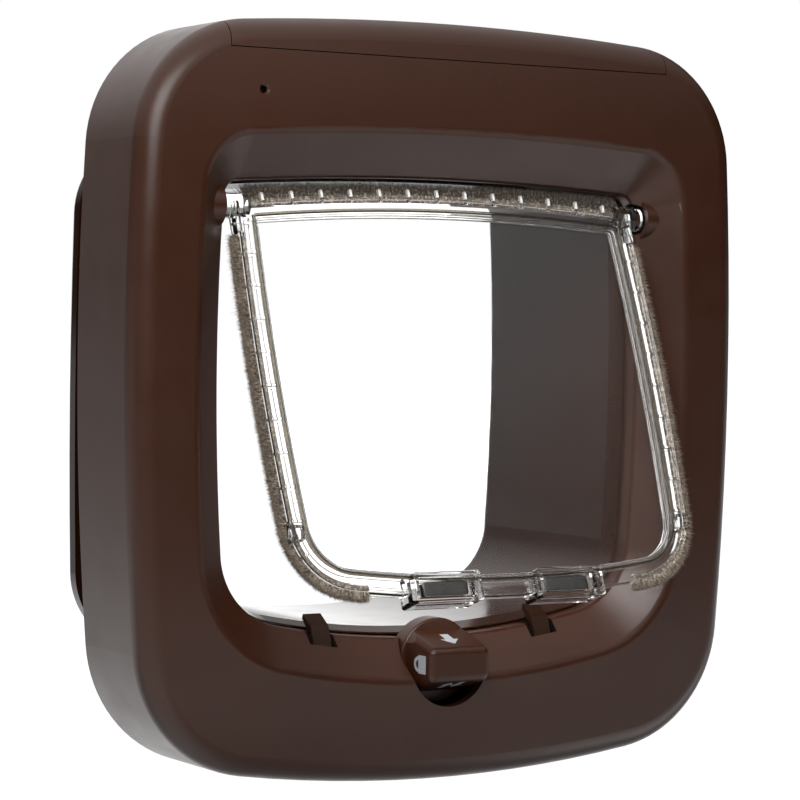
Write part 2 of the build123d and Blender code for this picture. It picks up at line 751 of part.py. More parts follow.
# Lock knob: disc, tapered grip, shaft with a seat for the hub
with BuildPart() as lock_knob:
    with BuildSketch(at_depth(knob_front)):
        with Locations((0, knob_z)):
            RectangleRounded(grip_base_w, grip_base_h, grip_corner_r)
    with BuildSketch(at_depth(grip_front)):
        with Locations((0, knob_z)):
            RectangleRounded(grip_front_w, grip_front_h, grip_corner_r)
    loft()
    with BuildSketch(at_depth(knob_front)):
        with Locations((0, knob_z)):
            Circle(grip_r)
    extrude(amount=knob_front - grip_front, mode=Mode.INTERSECT)
    fillet(lock_knob.faces().sort_by(Axis.Y)[0].edges(), grip_edge_r)
    with BuildPart(mode=Mode.PRIVATE) as knob_disc:
        with BuildSketch(at_depth(knob_front)):
            with Locations((0, knob_z)):
                Circle(knob_r)
        extrude(amount=-(knob_back - knob_front))
        fillet(knob_disc.faces().sort_by(Axis.Y)[0].edges(), knob_edge_r)
    add(knob_disc.part)
    with BuildSketch(at_depth(knob_back)):
        with Locations((0, knob_z)):
            Circle(shaft_r)
    extrude(amount=-(shaft_shoulder - knob_back))
    with BuildSketch(at_depth(shaft_shoulder)):
        with Locations((0, knob_z)):
            Circle(hub_seat_r)
    extrude(amount=-hub_l)
lock_knob.part.label = "lock_knob"
export_step(lock_knob.part, "parts/lock_knob.step")

# Detent hub: notched ring on the shaft's end that keeps the knob in and clicks at four turns
with BuildPart() as detent_hub:
    with BuildSketch(at_depth(shaft_shoulder)):
        with Locations((0, knob_z)):
            Circle(hub_r)
            Circle(hub_seat_r + shaft_clear, mode=Mode.SUBTRACT)
            with PolarLocations(hub_r, 4):
                Circle(notch_r, mode=Mode.SUBTRACT)
    extrude(amount=-hub_l)
detent_hub.part.label = "detent_hub"
export_step(detent_hub.part, "parts/detent_hub.step")

# Detent spring: leaf on the rear cover's two fingers, with a bump under the hub
with BuildPart() as detent_spring:
    with BuildSketch(at_depth(shaft_shoulder + hub_clear)):
        with Locations((0, spring_top_z)):
            Rectangle(2 * spring_half_w + spring_seat_w, spring_t, align=(Align.CENTER, Align.MAX))
        with BuildLine():
            Polyline(
                (-spring_bump_w / 2, spring_top_z),
                (-spring_bump_w / 6, spring_top_z + spring_bump_h),
                (spring_bump_w / 6, spring_top_z + spring_bump_h),
                (spring_bump_w / 2, spring_top_z),
                close=True,
            )
        make_face()
    extrude(amount=-spring_w)
detent_spring.part.label = "detent_spring"
export_step(detent_spring.part, "parts/detent_spring.step")

# Clear flap in its own plane: pane, ribbed rails, hollow blocks and pivots
flap_plane = Plane(
    origin=(0, hinge_depth - housing_depth, hinge_z),
    x_dir=(1, 0, 0),
    z_dir=(0, -cos(radians(flap_open)), sin(radians(flap_open))),
)
flap_face = bowed_face(
    flap_w,
    flap_top,
    flap_bottom,
    (flap_top + flap_bottom) / 2,
    (flap_side_bow_top, flap_side_bow_bottom, flap_top_bow, flap_bottom_bow),
    (flap_top_corner_r, flap_bottom_corner_r),
)
rib_rows = int((flap_top - flap_bottom) / rib_pitch) + 1
tooth_count = int(2 * brush_top_half_w / rib_pitch) + 1
block_mid_x = (block_x[0] + block_x[1]) / 2
block_w = block_x[1] - block_x[0]
block_mid = (block_top + block_bottom) / 2
block_h = block_top - block_bottom


def side_channel():
    """Ring-shaped channel of the rails, cut into cells by ribs across it."""
    channel_outer = rail_w - rail_lip - rail_channel_w
    with BuildSketch() as channel:
        add(grown(flap_face, -channel_outer))
        add(grown(flap_face, -channel_outer - rail_channel_w), mode=Mode.SUBTRACT)
        with GridLocations(flap_w - rail_w, rib_pitch, 2, 2 * rib_rows):
            Rectangle(rail_w, rib_w, mode=Mode.SUBTRACT)
    return channel.sketch


def brush_ring(pile, floor_depth):
    """Band all round the flap, from a floor in its edge to the tips of the pile."""
    with BuildSketch() as band:
        add(grown(flap_face, pile))
        add(grown(flap_face, -floor_depth), mode=Mode.SUBTRACT)
    return band.sketch


def brush_teeth():
    """Row of teeth on the rail's top edge that stand in front of the top brush."""
    with BuildSketch() as teeth:
        add(brush_ring(tooth_h, brush_groove_d))
        with BuildSketch(mode=Mode.INTERSECT):
            with GridLocations(rib_pitch, 1, tooth_count, 1):
                Rectangle(rib_w, flap_w, align=(Align.CENTER, Align.MIN))
    return teeth.sketch


def brush_area(pile):
    """The band where it holds a brush: along the top, and down each side and round the corner."""
    with BuildSketch() as area:
        add(brush_ring(pile, brush_groove_d))
        with BuildSketch(mode=Mode.INTERSECT):
            Rectangle(2 * brush_top_half_w, flap_w, align=(Align.CENTER, Align.MIN))
            with Locations((-brush_bottom_x, brush_side_top)):
                Rectangle(flap_w, 2 * flap_w, align=(Align.MAX, Align.MAX))
            with Locations((brush_bottom_x, brush_side_top)):
                Rectangle(flap_w, 2 * flap_w, align=(Align.MIN, Align.MAX))
    return area.sketch


with BuildPart() as flap_window:
    with BuildSketch(flap_plane):
        add(flap_face)
    extrude(amount=rail_t / 2, both=True)
    for face_side in (-1, 1):
        with BuildSketch(flap_plane.offset(face_side * rail_t / 2)):
            add(grown(flap_face, -rail_w))
        extrude(amount=-face_side * (rail_t - pane_t) / 2, mode=Mode.SUBTRACT)
        with BuildSketch(flap_plane.offset(face_side * rail_t / 2)):
            add(side_channel())
        extrude(amount=-face_side * rail_channel_d, mode=Mode.SUBTRACT)
    with BuildSketch(flap_plane):
        add(brush_area(0))
    extrude(amount=brush_t / 2, both=True, mode=Mode.SUBTRACT)
    with BuildSketch(flap_plane.offset(brush_t / 2)):
        add(brush_teeth())
    extrude(amount=(rail_t - brush_t) / 2)
    with BuildSketch(flap_plane):
        with Locations((-block_mid_x, block_mid), (block_mid_x, block_mid)):
            RectangleRounded(block_w, block_h, block_r)
    extrude(amount=block_t / 2, both=True)
    for face_side in (-1, 1):
        with BuildSketch(flap_plane.offset(face_side * block_t / 2)):
            with Locations((-block_mid_x, block_mid), (block_mid_x, block_mid)):
                Rectangle(block_w - 2 * block_wall, block_h - 2 * block_wall)
        extrude(amount=-face_side * (block_t - pane_t) / 2, mode=Mode.SUBTRACT)
    for side in (-1, 1):
        with BuildSketch(across(hinge_depth, hinge_z).offset(side * pivot_root)):
            Circle(pivot_boss_r)
        extrude(amount=side * (socket_x - pivot_end_gap - pivot_root))
        with BuildSketch(across(hinge_depth, hinge_z).offset(side * (socket_x - pivot_end_gap))):
            Circle(pivot_pin_r)
        extrude(amount=side * pivot_pin_l)
flap_window.part.label = "flap_window"
export_step(flap_window.part, "parts/flap_window.step")


# Top brush, along the edge between the two pivots
with BuildPart() as top_brush:
    with BuildSketch(flap_plane):
        add(brush_ring(brush_pile, brush_groove_d - brush_room))
        with Locations((0, 0)):
            Rectangle(2 * brush_top_half_w, flap_w, align=(Align.CENTER, Align.MIN), mode=Mode.INTERSECT)
    extrude(amount=brush_t / 2 - brush_room, both=True)
top_brush.part.label = "top_brush"
export_step(top_brush.part, "parts/top_brush.step")

# Left brush, down the side and round the corner
with BuildPart() as left_brush:
    with BuildSketch(flap_plane):
        add(brush_ring(brush_pile, brush_groove_d - brush_room))
        with Locations((-brush_bottom_x, brush_side_top)):
            Rectangle(flap_w, 2 * flap_w, align=(Align.MAX, Align.MAX), mode=Mode.INTERSECT)
    extrude(amount=brush_t / 2 - brush_room, both=True)
left_brush.part.label = "left_brush"
export_step(left_brush.part, "parts/left_brush.step")

# Right brush, down the side and round the corner
with BuildPart() as right_brush:
    with BuildSketch(flap_plane):
        add(brush_ring(brush_pile, brush_groove_d - brush_room))
        with Locations((brush_bottom_x, brush_side_top)):
            Rectangle(flap_w, 2 * flap_w, align=(Align.MIN, Align.MAX), mode=Mode.INTERSECT)
    extrude(amount=brush_t / 2 - brush_room, both=True)
right_brush.part.label = "right_brush"
export_step(right_brush.part, "parts/right_brush.step")
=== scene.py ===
"""Looks of the cat flap: finishes, brush pile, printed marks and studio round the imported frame."""

import logging
import math
from dataclasses import dataclass, field
from enum import Enum

import bpy
import numpy as np
from mathutils import Matrix


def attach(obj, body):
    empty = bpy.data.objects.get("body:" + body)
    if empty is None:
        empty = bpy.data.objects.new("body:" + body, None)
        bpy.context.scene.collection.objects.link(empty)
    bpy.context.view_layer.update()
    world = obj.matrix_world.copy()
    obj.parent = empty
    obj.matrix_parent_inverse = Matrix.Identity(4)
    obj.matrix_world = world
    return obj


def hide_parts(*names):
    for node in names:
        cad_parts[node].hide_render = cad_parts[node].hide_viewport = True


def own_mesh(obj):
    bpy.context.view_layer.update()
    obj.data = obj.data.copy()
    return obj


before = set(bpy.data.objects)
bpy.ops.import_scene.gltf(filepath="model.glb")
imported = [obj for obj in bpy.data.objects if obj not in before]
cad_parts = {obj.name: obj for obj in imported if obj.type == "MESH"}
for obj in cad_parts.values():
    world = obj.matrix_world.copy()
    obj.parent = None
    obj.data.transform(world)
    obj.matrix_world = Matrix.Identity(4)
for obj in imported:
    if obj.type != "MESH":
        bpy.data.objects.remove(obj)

LOG = logging.getLogger("cat_flap")
MM = 0.001
HINGE_MM = (0.0, -27.5, 60.5)
KNOB_Z_MM = -82.7
Triple = tuple[float, float, float]
Pair = tuple[float, float]
# A ramp is the level at its start, the level at its end, and where it starts and ends.
Ramp = tuple[float, float, float, float]
RampPair = tuple[Ramp, Ramp]
Socket = bpy.types.NodeSocket
Value = Socket | float


class Graph:
    """A node tree with short calls that add and join its nodes."""

    def __init__(self, tree: bpy.types.NodeTree) -> None:
        """Empty the tree so that only this graph's nodes are in it."""
        self.tree = tree
        self.tree.nodes.clear()

    def add(self, kind: str, inputs: dict | None = None, **settings: object) -> bpy.types.Node:
        """Add one node.

        Args:
            kind: Blender's name of the node type.
            inputs: value or output socket for each input, by name or number.
            settings: the node's own properties.

        Returns:
            The new node.
        """
        node = self.tree.nodes.new(kind)
        for key, value in settings.items():
            setattr(node, key, value)
        for key, value in (inputs or {}).items():
            if isinstance(value, Socket):
                self.tree.links.new(value, node.inputs[key])
            else:
                node.inputs[key].default_value = value
        return node

    def place(self) -> Socket:
        """The point on the piece in its own frame, in metres."""
        return self.add("ShaderNodeTexCoord").outputs["Object"]

    def axes(self) -> bpy.types.bpy_prop_collection:
        """The point's coordinates, by the names X, Y and Z."""
        return self.add("ShaderNodeSeparateXYZ", {0: self.place()}).outputs

    def noise(self, size_mm: float, detail: float = 2.0, point: Socket | None = None) -> Socket:
        """Soft noise with blobs of about one size.

        Args:
            size_mm: width of a blob in millimetres.
            detail: octaves of finer noise on top.
            point: where it is read, the piece's own frame if none is given.

        Returns:
            A factor from 0 to 1.
        """
        inputs = {"Vector": point or self.place(), "Scale": 1.0 / (size_mm * MM), "Detail": detail}
        return self.add("ShaderNodeTexNoise", inputs).outputs["Fac"]

    def spread(self, factor: Socket, low: float, high: float, start: float = 0.3, end: float = 0.7) -> Socket:
        """Stretch a factor to a range.

        Args:
            factor: the socket that is read.
            low: result at the start.
            high: result at the end.
            start: factor that gives the low result.
            end: factor that gives the high result.

        Returns:
            The stretched value.
        """
        inputs = {"Value": factor, "From Min": start, "From Max": end, "To Min": low, "To Max": high}
        return self.add("ShaderNodeMapRange", inputs).outputs["Result"]

    def math(self, operation: str, first: Value, second: Value = 0.0) -> Socket:
        """The result of one sum on two values."""
        return self.add("ShaderNodeMath", {0: first, 1: second}, operation=operation).outputs[0]

    def highest(self, *values: Socket) -> Socket:
        """Compare some values.

        Args:
            values: the sockets that are compared.

        Returns:
            The highest value.
        """
        top = values[0]
        for value in values[1:]:
            top = self.math("MAXIMUM", top, value)
        return top

    def ramps(self, operation: str, sockets: tuple[Socket, Socket], pair: RampPair) -> Socket:
        """The result of one sum on two sockets, each stretched by its ramp."""
        first, second = (self.spread(socket, *ramp) for socket, ramp in zip(sockets, pair))
        return self.math(operation, first, second)

    def tint(self, factor: Socket, first: Triple | Socket, second: Triple) -> Socket:
        """Mix two colours.

        Args:
            factor: how much of the second colour is in the mix.
            first: the colour at a factor of 0, or a socket that gives it.
            second: the colour at a factor of 1.

        Returns:
            The mixed colour.
        """
        start = first if isinstance(first, Socket) else (*first, 1.0)
        mix = self.add("ShaderNodeMix", {0: factor, 6: start, 7: (*second, 1.0)}, data_type="RGBA")
        return mix.outputs[2]

    def bump(self, height: Socket, depth_mm: float, strength: float, under: Socket | None = None) -> Socket:
        """A normal tilted by a height.

        Args:
            height: factor from 0 to 1.
            depth_mm: how high a factor of 1 stands, in millimetres.
            strength: how much of the tilt is kept.
            under: a normal that is already tilted.

        Returns:
            The normal.
        """
        inputs = {"Height": height, "Distance": depth_mm * MM, "Strength": strength}
        if under:
            inputs["Normal"] = under
        return self.add("ShaderNodeBump", inputs).outputs["Normal"]

    def bands(self, direction: str, scale: float, **inputs: float) -> Socket:
        """Waves across one direction of the piece.

        Args:
            direction: the letter of the axis that they cross.
            scale: the texture's scale; a scale of 1 gives about 3.2 waves in a metre.
            inputs: other inputs of the texture.

        Returns:
            A factor from 0 to 1.
        """
        named = {"Vector": self.place(), "Scale": scale, **inputs}
        wave = self.add("ShaderNodeTexWave", named, wave_type="BANDS", bands_direction=direction)
        return wave.outputs["Fac"]

    def shine(self, **inputs: object) -> bpy.types.Node:
        """A principled surface joined to the output, with its inputs spelt with underscores.

        Args:
            inputs: value or socket for each input.

        Returns:
            The output node.
        """
        named = {key.replace("_", " "): value for key, value in inputs.items()}
        shader = self.add("ShaderNodeBsdfPrincipled", named)
        return self.add("ShaderNodeOutputMaterial", {"Surface": shader.outputs["BSDF"]})


def new_graph(name: str) -> tuple[bpy.types.Material, Graph]:
    """Start a material.

    Args:
        name: the material's name.

    Returns:
        The new material and its empty graph.
    """
    material = bpy.data.materials.new(name)
    material.use_nodes = True
    return material, Graph(material.node_tree)


def shaded(colour: Triple, amount: float) -> Triple:
    """The colour made lighter or darker by a factor."""
    return tuple(min(1.0, part * amount) for part in colour)


@dataclass(frozen=True)
class Coat:
    """A finish: a name, and nodes that each kind of finish paints in its own way."""

    name: str

    def material(self) -> bpy.types.Material:
        """Build the material.

        Returns:
            The material, with the finish's own nodes.
        """
        material, graph = new_graph(self.name)
        self.paint(graph)
        return material

    def paint(self, graph: Graph) -> None:
        """Add the finish's nodes to an empty graph."""
        raise NotImplementedError


@dataclass(frozen=True)
class MouldedPlastic(Coat):
    """Moulded plastic with a fine spark texture, faint mottling and uneven gloss."""

    colour: Triple
    roughness: float
    mottle: float = 0.07
    mottle_edge: Pair = (0.7, 1.3)
    cloud_mm: float = 38.0
    speck_mm: float = 0.9
    patch_mm: float = 14.0
    patch_gloss: float = 0.03
    grain_mm: float = 0.42
    grain_depth_mm: float = 0.02
    grain_strength: float = 0.35
    coarse_size: float = 2.7
    coarse_depth: float = 1.5
    ior: float = 1.5
    specular: float = 0.5

    def paint(self, graph: Graph) -> None:
        """Cloudy colour, patchy gloss and a two-scale grain.

        Args:
            graph: the material's graph.
        """
        mixed = graph.math("ADD", graph.noise(self.cloud_mm, detail=3.0), graph.noise(self.speck_mm))
        colour, specular = self.shadowed(graph, graph.tint(
            graph.spread(mixed, 0.0, 1.0, *self.mottle_edge),
            shaded(self.colour, 1.0 - self.mottle),
            shaded(self.colour, 1.0 + self.mottle),
        ))
        patches = graph.noise(self.patch_mm)
        gloss = graph.spread(patches, self.roughness - self.patch_gloss, self.roughness + self.patch_gloss)
        coarse = graph.noise(self.grain_mm * self.coarse_size, detail=1.0)
        under = graph.bump(
            coarse, self.grain_depth_mm * self.coarse_depth, self.grain_strength, self.crowned(graph))
        grain = graph.bump(graph.noise(self.grain_mm), self.grain_depth_mm, self.grain_strength, under)
        graph.shine(
            Base_Color=colour,
            Roughness=gloss,
            IOR=self.ior,
            Specular_IOR_Level=specular,
            Normal=grain,
        )

    def shadowed(self, graph: Graph, colour: Socket) -> tuple[Socket, Value]:
        """The colour and mirror level as they are; a moulding with painted shade in its recesses changes them
        here.
        """
        return colour, self.specular

    def crowned(self, graph: Graph) -> Socket | None:
        """No change of the normal; a moulding with a slow crown tilts it here."""
        return None


@dataclass(frozen=True)
class HousingPlastic(MouldedPlastic):
    """Housing plastic with painted shade: very dark in the hinge bushes, the catch slots and the knob cup."""

    hinge_mm: Triple = HINGE_MM
    bush_r_mm: float = 5.2
    bush_x_mm: float = 79.2
    knob_mm: Triple = (0.0, 0.0, KNOB_Z_MM)
    cup_r_mm: float = 14.3
    cup_y_mm: float = -36.5
    slot_mm: Triple = (41.5, -27.05, -55.0)
    slot_half_mm: Pair = (5.0, 4.65)
    # Colour and mirror level of the painted shade in the recesses.
    painted_shade_colour: Triple = (0.006, 0.0035, 0.003)
    painted_shade_specular: float = 0.03
    crown: float = 45.0

    def near_axis(self, graph: Graph, across: Triple, centre_mm: Triple, radius_mm: float) -> Socket:
        """Where the surface is close to a line.

        Args:
            graph: the material's graph.
            across: 1 for the two directions across the line and 0 along it.
            centre_mm: a point on the line.
            radius_mm: how close.

        Returns:
            1 inside the radius and 0 outside.
        """
        flat = graph.add("ShaderNodeVectorMath", {0: graph.place(), 1: across}, operation="MULTIPLY")
        ends = {0: flat.outputs[0], 1: tuple(part * MM for part in centre_mm)}
        gap = graph.add("ShaderNodeVectorMath", ends, operation="DISTANCE").outputs["Value"]
        return graph.math("LESS_THAN", gap, radius_mm * MM)

    def within(self, graph: Graph, value: Socket, middle_mm: float, half_mm: float) -> Socket:
        """1 where a distance lies within half a width of its middle, and 0 elsewhere."""
        gap = graph.math("ABSOLUTE", graph.math("SUBTRACT", value, middle_mm * MM))
        return graph.math("LESS_THAN", gap, half_mm * MM)

    def crowned(self, graph: Graph) -> Socket:
        """The normal of a crown that steepens to the ends: a rise of -crown * z^4 metres."""
        power = graph.math("POWER", graph.math("ABSOLUTE", graph.axes()["Z"]), 4.0)
        return graph.bump(graph.math("MULTIPLY", power, -self.crown), 1.0 / MM, 1.0)

    def shadowed(self, graph: Graph, colour: Socket) -> tuple[Socket, Value]:
        """Paint shade: turn the colour very dark and cut the mirror level in the bushes, catch slots and knob
        cup.

        Args:
            graph: the material's graph.
            colour: the plastic's own colour.

        Returns:
            The changed colour and mirror level.
        """
        axes = graph.axes()
        inner = graph.math("LESS_THAN", graph.math("ABSOLUTE", axes["X"]), self.bush_x_mm * MM)
        bush = graph.math("MULTIPLY", inner, self.near_axis(graph, (0, 1, 1), self.hinge_mm, self.bush_r_mm))
        deep = graph.math("GREATER_THAN", axes["Y"], self.cup_y_mm * MM)
        cup = graph.math("MULTIPLY", deep, self.near_axis(graph, (1, 0, 1), self.knob_mm, self.cup_r_mm))
        aside = graph.math("ABSOLUTE", axes["X"])
        beside = self.within(graph, aside, self.slot_mm[0], self.slot_half_mm[0])
        inside = self.within(graph, axes["Y"], self.slot_mm[1], self.slot_half_mm[1])
        below = graph.math("LESS_THAN", axes["Z"], self.slot_mm[2] * MM)
        slot = graph.math("MULTIPLY", graph.math("MULTIPLY", beside, inside), below)
        # Painted shade: the bushes, the knob cup and the catch slots are darkened as if in shadow.
        dark = graph.highest(bush, cup, slot)
        mirror = graph.spread(dark, self.specular, self.painted_shade_specular, 0.0, 1.0)
        return graph.tint(dark, colour, self.painted_shade_colour), mirror


@dataclass(frozen=True)
class ClearPlastic(Coat):
    """Clear moulded plastic with slow flow ripples and a faint haze."""

    colour: Triple
    haze: Pair
    body: Triple
    density: float
    mirror: Triple = (0.5, 0.5, 0.5)
    ior: float = 1.49
    haze_mm: float = 6.0
    ripple_mm: float = 17.0
    ripple_depth_mm: float = 0.15
    ripple_strength: float = 0.25

    def paint(self, graph: Graph) -> None:
        """Light passes, bends and loses a little on the way, and the surface ripples.

        Args:
            graph: the material's graph.
        """
        ripple = graph.noise(self.ripple_mm, detail=1.0)
        output = graph.shine(
            Base_Color=(*self.colour, 1.0),
            Roughness=graph.spread(graph.noise(self.haze_mm, detail=4.0), *self.haze),
            IOR=self.ior,
            Transmission_Weight=1.0,
            Specular_Tint=(*self.mirror, 1.0),
            Normal=graph.bump(ripple, self.ripple_depth_mm, self.ripple_strength),
        )
        inputs = {"Color": (*self.body, 1.0), "Density": self.density}
        depth = graph.add("ShaderNodeVolumeAbsorption", inputs)
        graph.tree.links.new(depth.outputs["Volume"], output.inputs["Volume"])


@dataclass(frozen=True)
class PileFibre(Coat):
    """Brush fibre whose colour differs from hair to hair, by the mesh's shade attribute."""

    dark: Triple
    pale: Triple
    speck_mm: float = 0.8
    speck: float = 0.42
    roughness: float = 0.7
    fuzz: float = 0.3
    fuzz_roughness: float = 0.5

    def paint(self, graph: Graph) -> None:
        """Matt fibre from dark roots to pale tips; the darker roots are painted shade.

        Args:
            graph: the material's graph.
        """
        shade = graph.add("ShaderNodeAttribute", attribute_name="shade").outputs["Fac"]
        dust = graph.spread(graph.noise(self.speck_mm), -self.speck, self.speck)
        colour = graph.tint(graph.math("ADD", shade, dust), self.dark, self.pale)
        graph.shine(
            Base_Color=colour,
            Roughness=self.roughness,
            Sheen_Weight=self.fuzz,
            Sheen_Roughness=self.fuzz_roughness,
        )


@dataclass(frozen=True)
class Metal(Coat):
    """Bare metal with fine drawn lines along one axis and patchy gloss."""

    colour: Triple
    roughness: float
    drawn: Triple = (1.0, 1.0, 14.0)
    line_mm: float = 2.2
    line_depth_mm: float = 0.01
    line_strength: float = 0.3
    line_gloss: Pair = (-0.06, 0.08)
    cloud_mm: float = 4.0
    cloud_shade: float = 0.86

    def paint(self, graph: Graph) -> None:
        """Cloudy metal with stretched scratches.

        Args:
            graph: the material's graph.
        """
        stretched = graph.add("ShaderNodeMapping", {"Vector": graph.place(), "Scale": self.drawn})
        lines = graph.noise(self.line_mm, detail=3.0, point=stretched.outputs["Vector"])
        cloud = graph.spread(graph.noise(self.cloud_mm), 0.0, 1.0)
        graph.shine(
            Base_Color=graph.tint(cloud, shaded(self.colour, self.cloud_shade), self.colour),
            Metallic=1.0,
            Roughness=graph.spread(lines, *(self.roughness + change for change in self.line_gloss)),
            Normal=graph.bump(lines, self.line_depth_mm, self.line_strength),
        )


@dataclass(frozen=True)
class Wound(Coat):
    """Lacquered wire laid side by side, as fine ribs along the coil."""

    colour: Triple
    wire_mm: float = 0.35
    waves_per_scale: float = math.pi
    uneven: float = 0.6
    groove_painted_shade: float = 0.5
    metallic: float = 0.85
    roughness: float = 0.32
    rib_depth_mm: float = 0.12
    rib_strength: float = 0.6

    def paint(self, graph: Graph) -> None:
        """Turns of wire side by side along the tunnel.

        Args:
            graph: the material's graph.
        """
        scale = 1.0 / (self.wire_mm * MM * self.waves_per_scale)
        ribs = graph.bands("Y", scale, Distortion=self.uneven)
        graph.shine(
            # The grooves between turns are darker: painted shade.
            Base_Color=graph.tint(ribs, shaded(self.colour, self.groove_painted_shade), self.colour),
            Metallic=self.metallic,
            Roughness=self.roughness,
            Normal=graph.bump(ribs, self.rib_depth_mm, self.rib_strength),
        )


@dataclass(frozen=True)
class Board(Coat):
    """Circuit board with lacquer and paler tracks."""

    lacquer: Triple
    track: Triple
    cell_mm: float = 3.4
    cell_shade: float = 0.8
    track_share: float = 0.05
    track_depth_mm: float = 0.03
    track_strength: float = 0.4
    patch_mm: float = 5.0
    gloss: Pair = (0.25, 0.4)

    def paint(self, graph: Graph) -> None:
        """Tracks are the seams of a brick pattern.

        Args:
            graph: the material's graph.
        """
        brick = graph.add("ShaderNodeTexBrick", {
            "Vector": graph.place(),
            "Color1": (*self.lacquer, 1.0),
            "Color2": (*shaded(self.lacquer, self.cell_shade), 1.0),
            "Mortar": (*self.track, 1.0),
            "Scale": 1.0 / (self.cell_mm * MM),
            "Mortar Size": self.track_share,
        })
        graph.shine(
            Base_Color=brick.outputs["Color"],
            Roughness=graph.spread(graph.noise(self.patch_mm), *self.gloss),
            Normal=graph.bump(brick.outputs["Fac"], self.track_depth_mm, self.track_strength),
        )


@dataclass(frozen=True)
class Sleeve(Coat):
    """Shrink sleeve of a cell: a dark body and a warm metallic band."""

    body: Triple
    band: Triple
    pitch_mm: float
    waves_per_scale: float = 3.2
    edge: Pair = (0.72, 0.74)
    metallic: float = 0.8
    patch_mm: float = 3.0
    gloss: Pair = (0.22, 0.36)

    def paint(self, graph: Graph) -> None:
        """Bands across the cells' length.

        Args:
            graph: the material's graph.
        """
        wave = graph.bands("X", 1.0 / (self.pitch_mm * MM * self.waves_per_scale))
        graph.shine(
            Base_Color=graph.tint(graph.spread(wave, 0.0, 1.0, *self.edge), self.body, self.band),
            Metallic=graph.spread(wave, 0.0, self.metallic, *self.edge),
            Roughness=graph.spread(graph.noise(self.patch_mm, detail=3.0), *self.gloss),
        )


@dataclass(frozen=True)
class PadPrint(Coat):
    """Pale ink printed on plastic, thinner in spots."""

    ink: Triple
    worn: Triple
    hole_mm: float = 0.35
    hole_edge: Pair = (0.62, 0.78)
    patch_mm: float = 1.2
    gloss: Pair = (0.42, 0.55)

    def paint(self, graph: Graph) -> None:
        """Ink with fine pinholes."""
        holes = graph.spread(graph.noise(self.hole_mm), 0.0, 1.0, *self.hole_edge)
        graph.shine(
            Base_Color=graph.tint(holes, self.ink, self.worn),
            Roughness=graph.spread(graph.noise(self.patch_mm), *self.gloss),
        )


BROWN = (0.058, 0.0175, 0.0068)


class Finish(Enum):
    """The finishes that the pieces choose from."""

    HOUSING = HousingPlastic("housing_brown_spark", BROWN, 0.34)
    KNOB = MouldedPlastic("knob_brown_spark", BROWN, 0.34)
    # The tunnel brown is the housing brown at 0.62; the darkening is partly painted shade for the light that
    # the clear flap, which casts no shadow, would hold back.
    TUNNEL = MouldedPlastic("tunnel_brown_satin", shaded(BROWN, 0.62), 0.12, grain_strength=0.06)
    CATCH = MouldedPlastic("catch_dark_nylon", (0.030, 0.0125, 0.0065), 0.42, specular=0.2)
    INNER = MouldedPlastic("inner_black_moulding", (0.016, 0.015, 0.015), 0.5)
    BUTTON = MouldedPlastic("button_grey_moulding", (0.30, 0.30, 0.30), 0.42)
    CLEAR = ClearPlastic("flap_clear_plastic", (1.0, 1.0, 1.0), (0.01, 0.04), (0.80, 0.76, 0.66), 26.0)
    RIM = ClearPlastic("flap_rim_tinted", (0.24, 0.21, 0.165), (0.04, 0.08), (0.8, 0.8, 0.8), 10.0)
    TOOTH = MouldedPlastic("flap_tooth_milky", (0.74, 0.73, 0.70), 0.3, mottle=0.03)
    PIPE = ClearPlastic("light_pipe_milky", (0.75, 0.78, 0.76), (0.2, 0.35), (0.7, 0.7, 0.7), 60.0)
    PILE = PileFibre("brush_pile_grey", (0.06, 0.044, 0.030), (0.86, 0.71, 0.56))
    STEEL = Metal("screw_zinc_steel", (0.55, 0.55, 0.54), 0.32)
    MAGNET = Metal("magnet_dark_nickel", (0.16, 0.155, 0.15), 0.3)
    NICKEL = Metal("contact_nickel_strip", (0.66, 0.62, 0.55), 0.25)
    COPPER = Wound("coil_lacquered_copper", (0.62, 0.27, 0.12))
    BOARD = Board("board_green_lacquer", (0.012, 0.09, 0.035), (0.05, 0.22, 0.09))
    CELL = Sleeve("cell_sleeve", (0.018, 0.018, 0.020), (0.55, 0.33, 0.12), 45.0)
    INK = PadPrint("knob_pad_print", (0.62, 0.66, 0.70), (0.30, 0.27, 0.26))


class Paints:
    """Materials made so far, one for each finish."""

    made: dict[Finish, bpy.types.Material] = {}

    @classmethod
    def of(cls, finish: Finish) -> bpy.types.Material:
        """Find a material, or build it the first time that it is asked for.

        Args:
            finish: the finish that is wanted.

        Returns:
            The finish's one material.
        """
        if finish not in cls.made:
            cls.made[finish] = finish.value.material()
        return cls.made[finish]


def dress(node: str, finish: Finish) -> None:
    """Give a CAD node's slots a finish.

    Args:
        node: name of the CAD node.
        finish: the finish that it takes.
    """
    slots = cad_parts[node].data.materials
    for index in range(len(slots)):
        slots[index] = Paints.of(finish)
    LOG.info("dressed %s in %s", node, finish.name.lower())


def linked(name: str, data: bpy.types.ID) -> bpy.types.Object:
    """Put data into the scene.

    Args:
        name: the object's name.
        data: its mesh, camera or lamp.

    Returns:
        The new object, at the origin.
    """
    item = bpy.data.objects.new(name, data)
    bpy.context.collection.objects.link(item)
    return item


